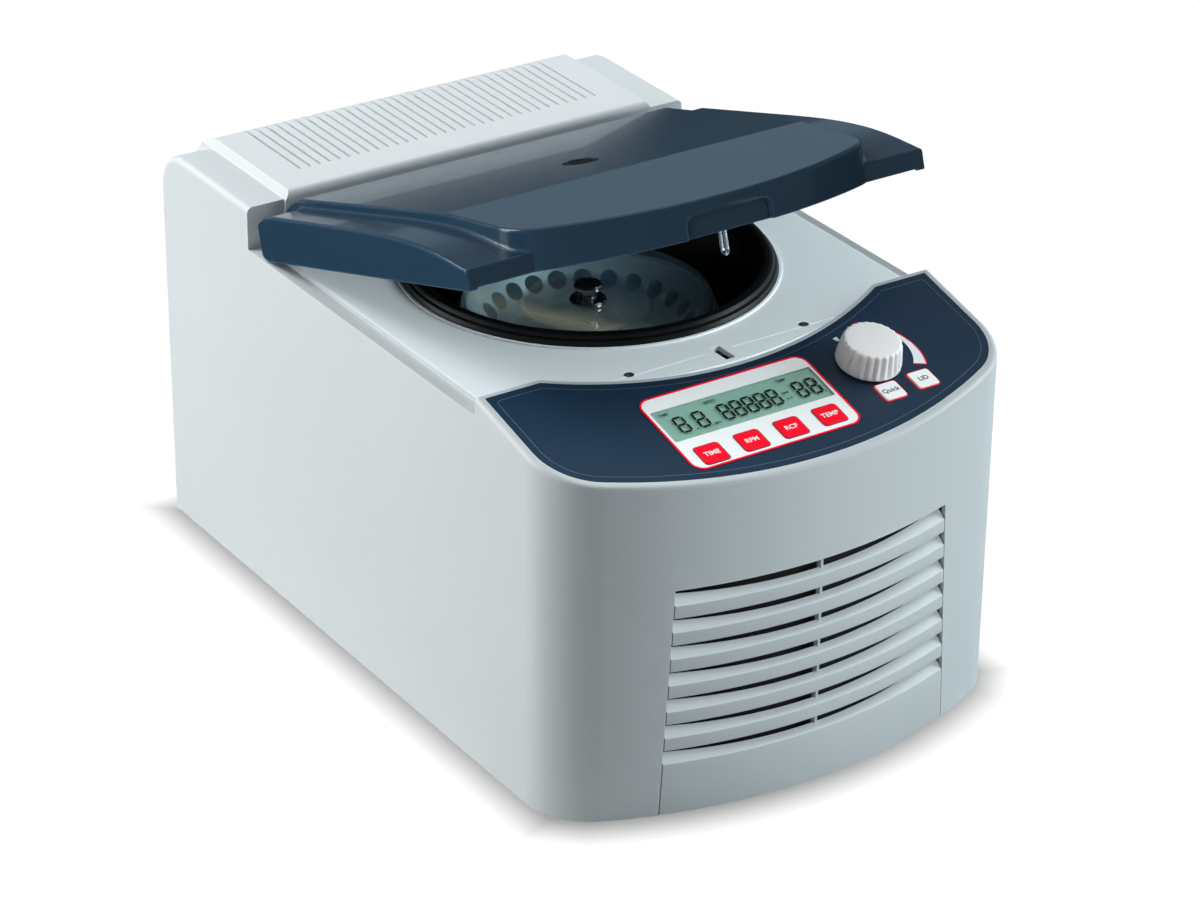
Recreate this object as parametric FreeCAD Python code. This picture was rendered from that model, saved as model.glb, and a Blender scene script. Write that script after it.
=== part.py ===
import FreeCAD, Part
import math
import os

# Refrigerated bench centrifuge, its lid standing slightly open. Millimetres.
# X points right seen from the front, -Y is the front, +Z is up. The origin is the centre of the
# footprint on the plane the feet stand on; the rotor and the chamber turn about the Z axis.

os.makedirs("parts", exist_ok=True)

Vector = FreeCAD.Vector
ORIGIN = Vector(0, 0, 0)
X_AXIS = Vector(1, 0, 0)
Y_AXIS = Vector(0, 1, 0)
Z_AXIS = Vector(0, 0, 1)
SIDES = (-1, 1)
DIAGONAL = math.sqrt(0.5)

# ---------------------------------------------------------------- shared dimensions
half_width = 144.0                   # outer side wall
y_front = -225.0                     # apex of the curved front
y_rear = 223.0                       # rear face of the housing
skirt_z = 4.0                        # lower edge of the housing
wall = 3.0
front_radius = 290.0                 # plan radius of the curved front
front_centre_y = y_front + front_radius
corner_radius = 40.0                 # plan radius of the front corners

ledge_z = 210.0                      # side ledge the deck stands on
deck_z = ledge_z + 3.0               # deck surface
deck_half = 135.5
box_y = 121.0                        # front face of the rear box
cheek_z = 235.0                      # top of the rear box
cheek_radius = 24.0
cheek_edge_radius = 3.5
hump_half = 121.0                    # vent cover
hump_z = 240.0
hump_y = 118.5
hump_back_y = y_rear + 2.0

panel_z0 = 193.4                     # height of the panel plane at the front apex
panel_slope = 0.245
panel_angle = math.atan(panel_slope)
arc_centre_y = 81.2                  # plan centre of the panel's concave rear edge
casing_arc_r = 223.2
casing_back_y = -115.2
overlay_arc_r = casing_arc_r + 2.0
overlay_back_y = casing_back_y - 2.0

hinge_x = 97.0                       # middle of each hinge
hinge_y = 104.0
hinge_z = 227.5
barrel_r = 13.2                      # rounding of the lid around the hinge axis
lid_open_angle = 17.06
lid_half = 143.5
lid_arc_r = casing_arc_r - 1.0
lid_front_y = casing_back_y + 1.0
lid_wing_z = 236.2                   # top of the side wings
lid_bottom_z = 213.4                 # lower edge between the side skirts
lid_wall = 2.5
plateau_half_rear = 121.5            # raised middle of the lid: half width at its rear
plateau_half_front = 111.0           # and at its front
plateau_rear_y = 100.0
plateau_front_y = -112.0

chamber_hole_r = 103.7
base_top_z = skirt_z + 2.5
shaft_r = 6.0
latch_y = -130.0
bolt_z = 203.9

deck_screws_xy = ((55.5, -122.6), (-55.5, -122.6), (120.0, 108.0), (-120.0, 108.0))
rear_screws_xz = ((-116.8, 20), (116.8, 20), (-116.8, 142), (116.8, 142))


# ---------------------------------------------------------------- basic solids
def box(x0, x1, y0, y1, z0, z1):
    return Part.makeBox(x1 - x0, y1 - y0, z1 - z0, Vector(x0, y0, z0))


def side_box(side, near, far, y0, y1, z0, z1):
    """Box between two distances from the middle plane, on side -1 or +1."""
    return box(*sorted((side * near, side * far)), y0, y1, z0, z1)


def rod_x(radius, x0, x1, y, z):
    return Part.makeCylinder(radius, x1 - x0, Vector(x0, y, z), X_AXIS)


def rod_y(radius, y0, y1, x, z):
    return Part.makeCylinder(radius, y1 - y0, Vector(x, y0, z), Y_AXIS)


def rod_z(radius, z0, z1, x=0.0, y=0.0):
    return Part.makeCylinder(radius, z1 - z0, Vector(x, y, z0))


def tube(outer_r, inner_r, z0, z1, x=0.0, y=0.0):
    return rod_z(outer_r, z0, z1, x, y).cut(rod_z(inner_r, z0 - 1, z1 + 1, x, y))


def rounded_box(x0, x1, y0, y1, radius, z0, z1):
    """Box with its four vertical edges rounded."""
    block = box(x0, x1, y0, y1, z0, z1)
    uprights = [e for e in block.Edges
                if abs(e.Vertexes[0].X - e.Vertexes[1].X) < 1e-6
                and abs(e.Vertexes[0].Y - e.Vertexes[1].Y) < 1e-6]
    return block.makeFillet(radius, uprights)


def polygon_face(points):
    return Part.Face(Part.makePolygon([Vector(*p) for p in points] + [Vector(*points[0])]))


def prism_x(points, x0, x1):
    """Polygon of (y, z) points extruded along X."""
    return polygon_face([(x0, y, z) for y, z in points]).extrude(Vector(x1 - x0, 0, 0))


def lathe(points, x=0.0, y=0.0):
    """Polygon of (radius, z) points turned about a vertical axis."""
    solid = polygon_face([(r, 0, z) for r, z in points]).revolve(ORIGIN, Z_AXIS, 360)
    solid.translate(Vector(x, y, 0))
    return solid


def path_face(segments, place):
    """Face inside a closed path; 2 points make a line, 3 an arc, more a spline."""
    edges = []
    for segment in segments:
        points = [place(*p) for p in segment]
        if len(points) == 2:
            curve = Part.LineSegment(*points)
        elif len(points) == 3:
            curve = Part.Arc(*points)
        else:
            curve = Part.BSplineCurve()
            curve.interpolate(points)
        edges.append(curve.toShape())
    return Part.Face(Part.Wire(Part.__sortEdges__(edges)))


def path_z(segments, z0, z1):
    """Path of (x, y) points extruded upwards."""
    return path_face(segments, lambda x, y: Vector(x, y, z0)).extrude(Vector(0, 0, z1 - z0))


def path_x(segments, x0, x1):
    """Path of (y, z) points extruded along X."""
    return path_face(segments, lambda y, z: Vector(x0, y, z)).extrude(Vector(x1 - x0, 0, 0))


def lines(*points):
    """Straight path segments through the points."""
    return list(zip(points[:-1], points[1:]))


def arc_point(x, y, radius, angle):
    return (x + radius * math.cos(angle), y + radius * math.sin(angle))


def mirror(point):
    return (-point[0], point[1])


# ---------------------------------------------------------------- operations
def fuse(first, *others):
    return first.multiFuse(list(others)).removeSplitter()


def cut(shape, *tools):
    for tool in tools:
        shape = shape.cut(tool)
    return shape


def common(shape, *others):
    for other in others:
        shape = shape.common(other)
    return shape


def turned(shape, axis, angle, centre=ORIGIN):
    shape = shape.copy()
    shape.rotate(centre, axis, angle)
    return shape


def moved(shape, x, y, z):
    shape = shape.copy()
    shape.translate(Vector(x, y, z))
    return shape


def polar(shape, count):
    return [turned(shape, Z_AXIS, 360.0 * i / count) for i in range(count)]


def middle(edge):
    start, end = edge.ParameterRange
    return edge.valueAt(0.5 * (start + end))


def fillet(shape, radius, pick):
    """Round the edges that pick(midpoint, edge) accepts."""
    edges = [e for e in shape.Edges if pick(middle(e), e)]
    if not edges:
        return shape
    # The kernel may refuse a radius, so smaller ones are tried before giving up.
    for factor in (1.0, 0.8, 0.6, 0.4):
        try:
            rounded = shape.makeFillet(radius * factor, edges)
            if rounded.isValid() and rounded.Volume > 0:
                return rounded
        except Exception:
            pass
    return shape


def export(name, shape):
    if shape.ShapeType == "Compound" and len(shape.Solids) == 1:
        shape = shape.Solids[0]
    if not shape.isValid():
        shape.fix(0.001, 0.001, 0.01)
    shape.exportStep("parts/%s.step" % name)


# ---------------------------------------------------------------- housing outlines
def plan_prism(inset, z0, z1):
    """Plan of the housing: square rear, curved front, rounded front corners."""
    front_r = front_radius - inset
    corner_r = corner_radius - inset
    reach = front_radius - corner_radius
    corner_x = half_width - corner_radius
    drop = math.sqrt(reach ** 2 - corner_x ** 2)
    corner_y = front_centre_y - drop
    tangent = (corner_x * front_r / reach, front_centre_y - drop * front_r / reach)
    angle = math.atan2(tangent[1] - corner_y, tangent[0] - corner_x)
    bend = arc_point(corner_x, corner_y, corner_r, 0.5 * angle)
    side = (half_width - inset, corner_y)
    rear = (half_width - inset, y_rear - inset)
    return path_z([
        (side, rear),
        (rear, mirror(rear)),
        (mirror(rear), mirror(side)),
        (mirror(side), mirror(bend), mirror(tangent)),
        (mirror(tangent), (0, front_centre_y - front_r), tangent),
        (tangent, bend, side)], z0, z1)


def front_region(radius, back_y, z0, z1):
    """Everything in front of a concave arc and the straight edges beside it."""
    x_max, y_min = 160.0, -260
    x_arc = math.sqrt(radius * radius - (back_y - arc_centre_y) ** 2)
    arc_end = (x_arc, back_y)
    corner = (x_max, back_y)
    return path_z(
        lines(mirror(corner), mirror(arc_end))
        + [(mirror(arc_end), (0, arc_centre_y - radius), arc_end)]
        + lines(arc_end, corner, (x_max, y_min), (-x_max, y_min), mirror(corner)), z0, z1)


def quarter_arc(y, z, radius):
    """Arc about (y, z) from its top to its rear."""
    return ((y, z + radius), (y + radius * DIAGONAL, z + radius * DIAGONAL), (y + radius, z))


def rear_profile(inset, front_y):
    """Side profile of the rear box, wider than the housing."""
    top, back, radius = cheek_z - inset, y_rear - inset, cheek_radius - inset
    arc = quarter_arc(back - radius, top - radius, radius)
    return path_x(lines((front_y, 0), (front_y, top), arc[0]) + [arc]
                  + lines(arc[2], (back, 0), (front_y, 0)), -170, 170)


def panel_height(y):
    return panel_z0 + panel_slope * (y - y_front)


def below_panel(depth):
    """Space under the panel plane, lowered by depth along its normal."""
    drop = depth / math.cos(panel_angle)
    return prism_x([(-262, -20), (-262, panel_height(-262) - drop),
                    (-60, panel_height(-60) - drop), (-60, -20)], -165, 165)


def panel_layer(low, high):
    """Layer between two offsets from the panel plane, along its normal."""
    low, high = low / math.cos(panel_angle), high / math.cos(panel_angle)
    return prism_x([(-262, panel_height(-262) + low), (-262, panel_height(-262) + high),
                    (-60, panel_height(-60) + high), (-60, panel_height(-60) + low)],
                   -165, 165)


def overlay_outline(inset, z0, z1):
    return common(front_region(overlay_arc_r + inset, overlay_back_y - inset, z0, z1),
                  plan_prism(4.4 + inset, z0, z1))


# Front grille
slot_top_z = 136.0                   # top edge of the first slot
slot_pitch = 15.57
slot_height = 8.0
slot_count = 7
grille_half_top = 85.5               # half width at the first slot
grille_taper = 0.0495                # growth of the half width per mm downwards


def grille_prism(margin, z0, z1):
    """Space between the slanted ends of the grille, widened by margin."""
    half0, half1 = [grille_half_top + (slot_top_z - z) * grille_taper + margin
                    for z in (z0, z1)]
    return polygon_face([(-half0, -262, z0), (half0, -262, z0), (half1, -262, z1),
                         (-half1, -262, z1)]).extrude(Vector(0, 150, 0))


# ---------------------------------------------------------------- housing
def housing_body(inset, bottom_z):
    """Front, middle and rear volumes of the housing, inset on all sides."""
    plan = plan_prism(inset, bottom_z, 260)
    return fuse(
        common(plan, front_region(casing_arc_r + inset, casing_back_y - inset, 0, 260),
               below_panel(inset)),
        common(plan, box(-160, 160, -150, 180, bottom_z, ledge_z - inset)),
        common(plan, rear_profile(inset, box_y + inset)))


def on_panel_rim(at, edge):
    return (abs(at.z - panel_height(at.y)) < 0.02
            and at.y < -118 and (abs(at.x) > 119 or at.y < -190))


def on_cheek(at, edge):
    """Edges along the cheek tops and down the rear corners."""
    return (abs(abs(at.x) - half_width) < 0.01 and at.y > box_y + 1
            and (at.z > 212 or abs(at.y - y_rear) < 0.01)
            and abs(edge.Vertexes[0].X - edge.Vertexes[-1].X) < 0.01)


def main_housing():
    outer = housing_body(0, skirt_z)
    outer = fillet(outer, 2.6, on_panel_rim)
    outer = fillet(outer, cheek_edge_radius, on_cheek)
    housing = outer.cut(housing_body(wall, 0))
    # chamber, lock and hinge openings in the skin under the deck
    housing = cut(housing, rod_z(117.0, 200, 212), box(-16, 16, -145, -100, 204, 211))
    for side in SIDES:
        x = side * hinge_x
        housing = housing.cut(box(x - 9, x + 9, 94, 114, 204, 211))
    vent_half = hump_half - 8
    seat_half = hump_half + 0.3
    housing = cut(
        housing,
        # openings under the vent cover: top of the rear box and back
        box(-vent_half, vent_half, box_y + 3.0, 230, 206, 250),
        box(-vent_half, vent_half, 205, 230, 12, 250),
        # shallow seat in the back
        box(-seat_half, seat_half, y_rear - 1.0, 230, 12, 260),
        # grille opening
        common(grille_prism(0.35, 0, slot_top_z + 0.9), box(-120, 120, -240, -190, -1, 160)),
        # seat for the overlay, then the opening for the panel carrier
        common(overlay_outline(0, 150, 260), panel_layer(-0.55, 20)),
        common(overlay_outline(6, 150, 260), panel_layer(-12, 20)))
    for x, y in deck_screws_xy:
        housing = housing.cut(rod_z(1.6, 200, 214, x, y))
    for x, z in rear_screws_xz:
        housing = housing.cut(rod_y(1.7, 215, 230, x, z))
    return housing


def hump_prism(inset, x0, x1, low_z):
    """Vent cover: side profile with a small front and a large rear rounding."""
    top, back, front = hump_z - inset, hump_back_y - inset, hump_y + inset
    front_r, rear_r = 4.0, 26.0 - inset
    nudge = front_r * (1 - DIAGONAL)
    arc = quarter_arc(back - rear_r, top - rear_r, rear_r)
    return path_x(
        lines((front, low_z), (front, top - front_r))
        + [((front, top - front_r), (front + nudge, top - nudge), (front + front_r, top))]
        + lines((front + front_r, top), arc[0]) + [arc]
        + lines(arc[2], (back, low_z), (front, low_z)), x0, x1)


def rear_vent_cover():
    flank_keep = 7.6
    vent_count, vent_pitch, vent_width = 32, 6.32, 1.9
    cover = hump_prism(0, -hump_half, hump_half, 150.0)
    for side in SIDES:
        # sloped upper flank
        flank = polygon_face([
            (side * (hump_half + 1), 100, cheek_z), (side * hump_half, 100, cheek_z),
            (side * (hump_half - 3.2), 100, hump_z + 0.5),
            (side * (hump_half + 1), 100, hump_z + 0.5)]).extrude(Vector(0, 140, 0))
        cover = cover.cut(flank)
    inner_half = hump_half - 3.4
    cover = cover.cut(hump_prism(2.6, -inner_half, inner_half, 100))
    # keep the front skirt above the deck and the rest on top of the rear box
    cover = cut(cover, box(-130, 130, 90, box_y, 100, deck_z + 0.4),
                box(-130, 130, box_y - 0.05, y_rear - 23.5, 100, cheek_z))
    for side in SIDES:
        near, far = hump_half - flank_keep, hump_half + 1
        cover = cover.cut(common(
            side_box(side, near, far, box_y - 0.05, 230, 100, 260),
            rear_profile(0, box_y - 0.05)).cut(
                side_box(side, near, far, y_rear - 1.0, 230, 100, 260)))
    vents = []
    for i in range(vent_count):
        x = (i - (vent_count - 1) / 2.0) * vent_pitch
        vents.append(box(x - vent_width / 2, x + vent_width / 2, 142, 232, 196, 250))
    return cover.cut(Part.makeCompound(vents))


def rear_panel():
    panel = box(-120.6, 120.6, 222.0, 223.4, 12.5, 149.6)
    for row in range(9):
        z = 40 + row * 10
        for column in range(2):
            x = -98 + column * 52
            panel = panel.cut(box(x, x + 44, 215, 225, z, z + 3.5))
    panel = cut(panel, box(59.8, 88.2, 215, 225, 39.8, 61.2),       # inlet
                box(60.8, 87.2, 215, 225, 83.8, 96.2))              # switch
    for x, z in rear_screws_xz:
        panel = panel.cut(rod_y(1.7, 215, 230, x, z))
    return panel


def case_screws():
    return Part.makeCompound([
        fuse(rod_y(2.8, 223.4, 224.8, x, z), rod_y(1.5, 216, 223.6, x, z))
        for x, z in rear_screws_xz])


# ---------------------------------------------------------------- front grille and filter
def front_ring(outer_inset, inner_inset, z0, z1, margin):
    """Curved strip behind the housing front, between the grille's slanted ends."""
    centre = Vector(0, front_centre_y, z0)
    ring = Part.makeCylinder(front_radius - outer_inset, z1 - z0, centre).cut(
        Part.makeCylinder(front_radius - inner_inset, z1 - z0 + 2, centre - Z_AXIS))
    return common(ring, grille_prism(margin, z0 - 1, z1 + 1))


def louvre(low, high):
    """Outer face from low to high, upper side rising towards the back."""
    # (distance behind the housing front, z)
    section = [(0, low), (0, high - 0.3), (0.4, high), (5.4, high + 2.4), (7.0, high + 2.7),
               (8.6, high + 2.7), (8.6, high + 1.0), (2.8, high - 2.2), (2.8, low)]
    face = polygon_face([(0, front_centre_y - (front_radius - depth), z)
                         for depth, z in section])
    centre = Vector(0, front_centre_y, 0)
    halves = [face.revolve(centre, Z_AXIS, angle) for angle in (19.4, -19.4)]
    return common(fuse(*halves), grille_prism(0, low - 1, high + 8))


def front_grille():
    slot_tops = [slot_top_z - slot_pitch * i for i in range(slot_count)]
    pieces = [louvre(low, top - slot_height)
              for top, low in zip(slot_tops, slot_tops[1:] + [skirt_z])]
    rib_top = slot_top_z + 0.2
    end_ribs = front_ring(2.8, 8.6, skirt_z, rib_top, 0).cut(
        grille_prism(-2.6, skirt_z - 2, slot_top_z + 2))
    pieces += end_ribs.Solids
    pieces.append(common(front_ring(2.0, 8.6, skirt_z, rib_top, 0),
                         box(-0.7, 0.7, -260, -120, 0, 150)))
    return fuse(*pieces)


def air_filter():
    return common(front_ring(9.2, 10.6, 14, 142, 6), box(-92, 92, -260, -120, 14, 142))


# ---------------------------------------------------------------- deck
def top_deck():
    deck = box(-deck_half, deck_half, -150, hump_y + 2.2, ledge_z, deck_z)
    deck = cut(deck, front_region(casing_arc_r - 0.35, casing_back_y + 0.35, 200, 230),
               box(-hump_half - 0.4, hump_half + 0.4, hump_y - 0.3, 130, 200, 230))
    deck = fillet(deck, 1.2, lambda at, edge: abs(abs(at.x) - deck_half) < 0.01
                  and abs(at.z - deck_z) < 0.01)
    rim = tube(105.2, chamber_hole_r, deck_z - 0.5, deck_z + 1.0)
    deck = fuse(deck, rim).cut(rod_z(chamber_hole_r, 200, 220))
    latch_slot = box(-3.0, 3.0, -135.2, -119.6, 200, 220)
    # lowered step along the panel's rear edge
    step = cut(front_region(casing_arc_r - 3.4, casing_back_y + 3.4, deck_z - 0.7, 222),
               box(-200, -131, -200, 0, 200, 230), box(131, 200, -200, 0, 200, 230))
    # fine groove just in front of the front screws' centres
    groove = cut(box(-98, 98, -124.9, -124.4, deck_z - 0.3, 220),
                 box(-8, 8, -140, -110, 200, 230), rod_z(chamber_hole_r + 4, 200, 230))
    deck = cut(deck, latch_slot, step, groove)
    for side in SIDES:
        x = side * hinge_x
        deck = deck.cut(box(x - 7.6, x + 7.6, 96.2, 111.8, 200, 220))
    for x, y in deck_screws_xy:
        deck = cut(deck, rod_z(2.9, 212.0, 220, x, y), rod_z(1.6, 205, 213, x, y))
    return deck


def deck_screw(x, y):
    """Cross-slotted screw, its head just below the deck surface."""
    top = deck_z - 0.05
    screw = fuse(rod_z(2.6, top - 0.9, top, x, y), rod_z(1.5, top - 9.0, top - 0.5, x, y))
    return screw.cut(Part.makeCompound([
        box(x - 1.6, x + 1.6, y - 0.3, y + 0.3, top - 0.6, top + 1),
        box(x - 0.3, x + 0.3, y - 1.6, y + 1.6, top - 0.6, top + 1)]))


def deck_screws():
    return Part.makeCompound([deck_screw(x, y) for x, y in deck_screws_xy])


# ---------------------------------------------------------------- control panel
# Panel frame: x, v up the slope from the front apex, w along the outward normal.
def slope_v(y):
    return (y - y_front) / math.cos(panel_angle)


def to_panel(shape):
    """Panel frame to the machine frame."""
    return moved(turned(shape, X_AXIS, math.degrees(panel_angle)), 0, y_front, panel_z0)


knob_x, knob_v = 64.2, slope_v(-168.0)
display = (-69.8, 34.2, slope_v(-206.2), slope_v(-149.6))       # x0, x1, v0, v1
lcd = (-66.6, 31.2, slope_v(-182.4), slope_v(-160.2))
key_height = 0.9                     # cap above the panel surface
red_key = (14.8, 13.8, 2.0)          # width, depth, corner radius
white_key = (13.2, 12.6, 1.6)
# name, centre x, centre v, (width, depth, corner radius)
bezel_keys = (
    ("time_key", -55.2, slope_v(-197.5), red_key),
    ("rpm_key", -30.2, slope_v(-196.9), red_key),
    ("rcf_key", -5.3, slope_v(-196.3), red_key),
    ("temp_key", 19.5, slope_v(-195.7), red_key))
overlay_keys = (
    ("quick_key", 61.3, slope_v(-192.0), white_key),
    ("lid_key", 83.6, slope_v(-190.5), white_key))
keys = bezel_keys + overlay_keys


def grown(rect, margin):
    x0, x1, v0, v1 = rect
    return (x0 - margin, x1 + margin, v0 - margin, v1 + margin)


def key_block(key, margin, extra_radius, w0, w1):
    x, v, (width, depth, radius) = key[1:]
    rect = (x - width / 2, x + width / 2, v - depth / 2, v + depth / 2)
    return rounded_box(*grown(rect, margin), radius + extra_radius, w0, w1)


def key_cap(key):
    cap = fillet(key_block(key, 0, 0, -4.2, key_height), 0.5,
                 lambda at, edge: abs(at.z - key_height) < 1e-3)
    return to_panel(fuse(cap, key_block(key, 1.2, 0, -5.2, -3.9)))


def panel_overlay():
    overlay = common(overlay_outline(0.15, 150, 260), panel_layer(-0.55, -0.02))
    overlay = overlay.cut(to_panel(rounded_box(*grown(display, 0.05), 7.05, -2, 2)))
    for key in overlay_keys:
        overlay = overlay.cut(to_panel(key_block(key, 0.2, 0.2, -3.65, 2)))
    return overlay.cut(to_panel(rod_z(4.2, -10, 2, knob_x, knob_v)))


def panel_carrier():
    carrier = common(overlay_outline(6.15, 150, 260), panel_layer(-3.6, -0.55))
    carrier = carrier.cut(to_panel(box(*grown(lcd, 0.9), -10, 2)))
    for key in keys:
        carrier = carrier.cut(to_panel(key_block(key, 0.3, 0.3, -3.65, 2)))
    return carrier.cut(to_panel(rod_z(4.0, -10, 2, knob_x, knob_v)))


def display_bezel():
    bezel = rounded_box(*display, 7.0, -0.55, 0.25)
    bezel = bezel.cut(rounded_box(*grown(lcd, 1.05), 1.25, -2, 2))
    for key in bezel_keys:
        bezel = bezel.cut(key_block(key, 0.2, 0.2, -3.65, 2))
    return to_panel(bezel)


def display_window():
    return to_panel(rounded_box(*grown(lcd, 1.0), 1.2, -0.55, 0.1))


def lcd_module():
    return to_panel(box(*grown(lcd, 0.6), -6.4, -0.75))


def control_pcb():
    board = box(-74, 100, 20.5, 73.5, -14.0, -12.4).cut(rod_z(7.0, -20, -5, knob_x, knob_v))
    components = []
    for name, x, v, size in keys:
        components.append(box(x - 3, x + 3, v - 3, v + 3, -12.5, -7.0))
        components.append(rod_z(1.6, -7.1, -6.2, x, v))
    components += [box(-60, 24, 50, 64, -12.5, -9.6),
                   box(-66, -50, 60, 70, -20.0, -13.9),
                   box(40, 58, 62, 72, -18.0, -13.9)]
    return to_panel(fuse(board, *components))


def encoder_body():
    def square(half, w0, w1):
        return box(knob_x - half, knob_x + half, knob_v - half, knob_v + half, w0, w1)

    body = fuse(square(6.2, -17.5, -5.4).cut(rod_z(3.06, -30, 0, knob_x, knob_v)),
                tube(3.9, 3.06, -5.6, -0.7, knob_x, knob_v))
    # room for the circuit board around the neck
    return to_panel(body.cut(square(20, -14.2, -12.2).cut(
        rod_z(6.9, -20, 0, knob_x, knob_v))))


def speed_knob():
    """Fluted knob on its shaft."""
    base_r, top_r, height = 17.7, 15.7, 15.2
    flute_count, flute_r, flute_lean = 18, 1.9, 0.14
    knob = lathe([(0, 1.0), (16.2, 1.0), (base_r, 1.6), (base_r, 3.4), (top_r + 0.4, 14.2),
                  (top_r - 1.2, 15.8), (top_r - 2.6, height), (0, height - 0.5)])
    flutes = []
    for i in range(flute_count):
        angle = 2 * math.pi * i / flute_count
        foot = arc_point(0, 0, base_r + 0.85, angle)
        lean = arc_point(0, 0, -flute_lean, angle)
        flutes.append(Part.makeCylinder(flute_r, 30, Vector(*foot, 3.4), Vector(*lean, 1)))
    knob = fuse(knob.cut(Part.makeCompound(flutes)), rod_z(3.0, -16.5, 2.0))
    return to_panel(moved(knob, knob_x, knob_v, 0))


# ---------------------------------------------------------------- chamber
def chamber_bowl():
    radius, floor = 93.0, 128.0
    return lathe([
        (22, floor - 1.5), (radius - 12, floor - 1.5), (radius - 3.5, floor + 1.5),
        (radius + 1.5, floor + 10), (radius + 1.5, 208.0), (103.4, 208.0), (103.4, 209.5),
        (radius, 209.5), (radius, floor + 10.4), (radius - 4.6, floor + 2.9),
        (radius - 12.4, floor), (22, floor)])


def chamber_gasket():
    return lathe([
        (94.2, 209.5), (103.4, 209.5), (103.4, 214.6), (102.6, 216.6), (101.2, 217.6),
        (100.9, 218.6), (100.2, 219.6), (98.6, 220.1), (96.6, 220.0), (95.0, 219.2),
        (94.2, 217.6), (94.6, 214.0)])


def chamber_insulation():
    outer_r = 119.0
    return lathe([(24, 118), (outer_r, 118), (outer_r, 206), (101.9, 206), (101.9, 134),
                  (94, 126.4), (24, 126.4)])


def evaporator_coil():
    """Stacked rings joined by an upright pipe at the rear."""
    ring_r, low_z, pitch, count = 98.2, 144, 7.2, 9
    rings = [Part.makeTorus(ring_r, 3.0, Vector(0, 0, low_z + i * pitch), Z_AXIS)
             for i in range(count)]
    return fuse(rod_z(2.6, low_z, low_z + (count - 1) * pitch, 0, ring_r), *rings)


def chamber_support():
    plate = lathe([(50, 116), (118, 116), (118, 118), (50, 118)])
    posts = [rod_z(5.5, base_top_z, 116.2, side * 80, end * 78)
             for side in SIDES for end in SIDES]
    return fuse(plate, *posts)


# ---------------------------------------------------------------- base
feet_xy = ((118, 190), (-118, 190), (104, -172), (-104, -172))


def base_plate():
    base = plan_prism(wall + 0.3, skirt_z, base_top_z)
    slots = [box(-60 + 14 * i, -52 + 14 * i, -120, -60, 0, 20) for i in range(9)]
    base = cut(base, box(-96.0, 96.0, -240, -200.2, 0, 20), Part.makeCompound(slots))
    for x, y in feet_xy:
        base = base.cut(rod_z(2.1, 0, 20, x, y))
    return base


def rubber_feet():
    section = [(2.3, 0), (9.5, 0), (12, 1.4), (12, skirt_z), (2.3, skirt_z)]
    return Part.makeCompound([lathe(section, x, y) for x, y in feet_xy])


def foot_screws():
    return Part.makeCompound([
        fuse(rod_z(2.0, 0.9, 9.0, x, y), rod_z(3.6, base_top_z, 8.8, x, y))
        for x, y in feet_xy])


# ---------------------------------------------------------------- drive
mounts_xy = [arc_point(0, 0, 57, math.radians(angle)) for angle in (90, 210, 330)]


def motor_housing():
    can = rod_z(44, 24, 92).cut(rod_z(40, 28, 88))
    can = fuse(can, rod_z(17, 24, 36), rod_z(17, 80, 92), rod_z(15, 90, 104))
    # shaft bore, the two bearing bores and the side slots
    return cut(can, rod_z(7.0, 20, 110), rod_z(13.02, 26, 40), rod_z(13.02, 70, 90),
               Part.makeCompound(polar(box(36, 48, -3, 3, 40, 76), 12)))


def motor_bearings():
    return Part.makeCompound([tube(13.0, shaft_r + 0.03, z, z + 8) for z in (26, 82)])


def motor_stator():
    core = tube(35.4, 25.2, 38, 78).cut(
        Part.makeCompound(polar(box(24, 32, -1.2, 1.2, 30, 90), 12)))
    return fuse(core, tube(36.0, 33.0, 36, 80))


def motor_rotor():
    return tube(24.2, shaft_r, 40, 76)


def drive_shaft():
    return fuse(rod_z(shaft_r, 24.5, 181.0), rod_z(9.5, 144.0, 149.8))


def motor_mount_plate():
    plate = rod_z(66, 92, 96).cut(rod_z(15.1, 80, 100))
    for x, y in mounts_xy:
        plate = plate.cut(rod_z(3.1, 80, 100, x, y))
    return plate


def motor_mounts():
    section = [(3.05, 76), (8, 76), (8, 79.5), (6.4, 82), (6.4, 86), (8, 88.5), (8, 92),
               (3.05, 92)]
    return Part.makeCompound([lathe(section, x, y) for x, y in mounts_xy])


def motor_stand():
    return Part.makeCompound([
        fuse(rod_z(6.0, base_top_z, 76, x, y), rod_z(2.95, 74, 99, x, y),
             rod_z(5.0, 96, 99, x, y)) for x, y in mounts_xy])


def shaft_seal():
    return lathe([
        (15.05, 97), (17.2, 97), (17.2, 104), (21, 108), (18.2, 112), (22.5, 116),
        (22.5, 126.4), (20.6, 126.4), (20.6, 117), (16.2, 112.2), (19, 108.2),
        (15.05, 104.6)])


# ---------------------------------------------------------------- rotor
def rotor_body():
    bore_r, top_z, max_r = shaft_r + 0.02, 190.0, 86.5
    hole_count, hole_r, hole_depth, hole_lead = 24, 5.55, 34.0, 12
    body = lathe([
        (bore_r, 150), (20, 150), (24, 146), (84, 146), (max_r, 149), (max_r, 158),
        (70.6, 188), (69.4, top_z), (66.6, top_z), (63.5, 187.5), (45, 169), (41, 167.5),
        (21, 167.5), (16.5, 171), (16.5, 179.5), (15, 181), (bore_r, 181)])
    body = body.cut(tube(62, 27, 140, 159))
    # tube holes slanting 45 degrees down and outwards, with tapered bottoms
    mouth = Vector(55.0, 0, 179.0)
    down = Vector(DIAGONAL, 0, -DIAGONAL)
    hole = Part.makeCylinder(hole_r, hole_depth + hole_lead, mouth - down * hole_lead, down)
    hole = hole.fuse(Part.makeCone(hole_r, 1.6, 4.6, mouth + down * hole_depth, down))
    body = body.cut(Part.makeCompound(polar(hole, hole_count)))
    return body.cut(Part.makeCompound([rod_z(2.0, 176, 185, x, 0) for x in (11.3, -11.3)]))


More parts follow.
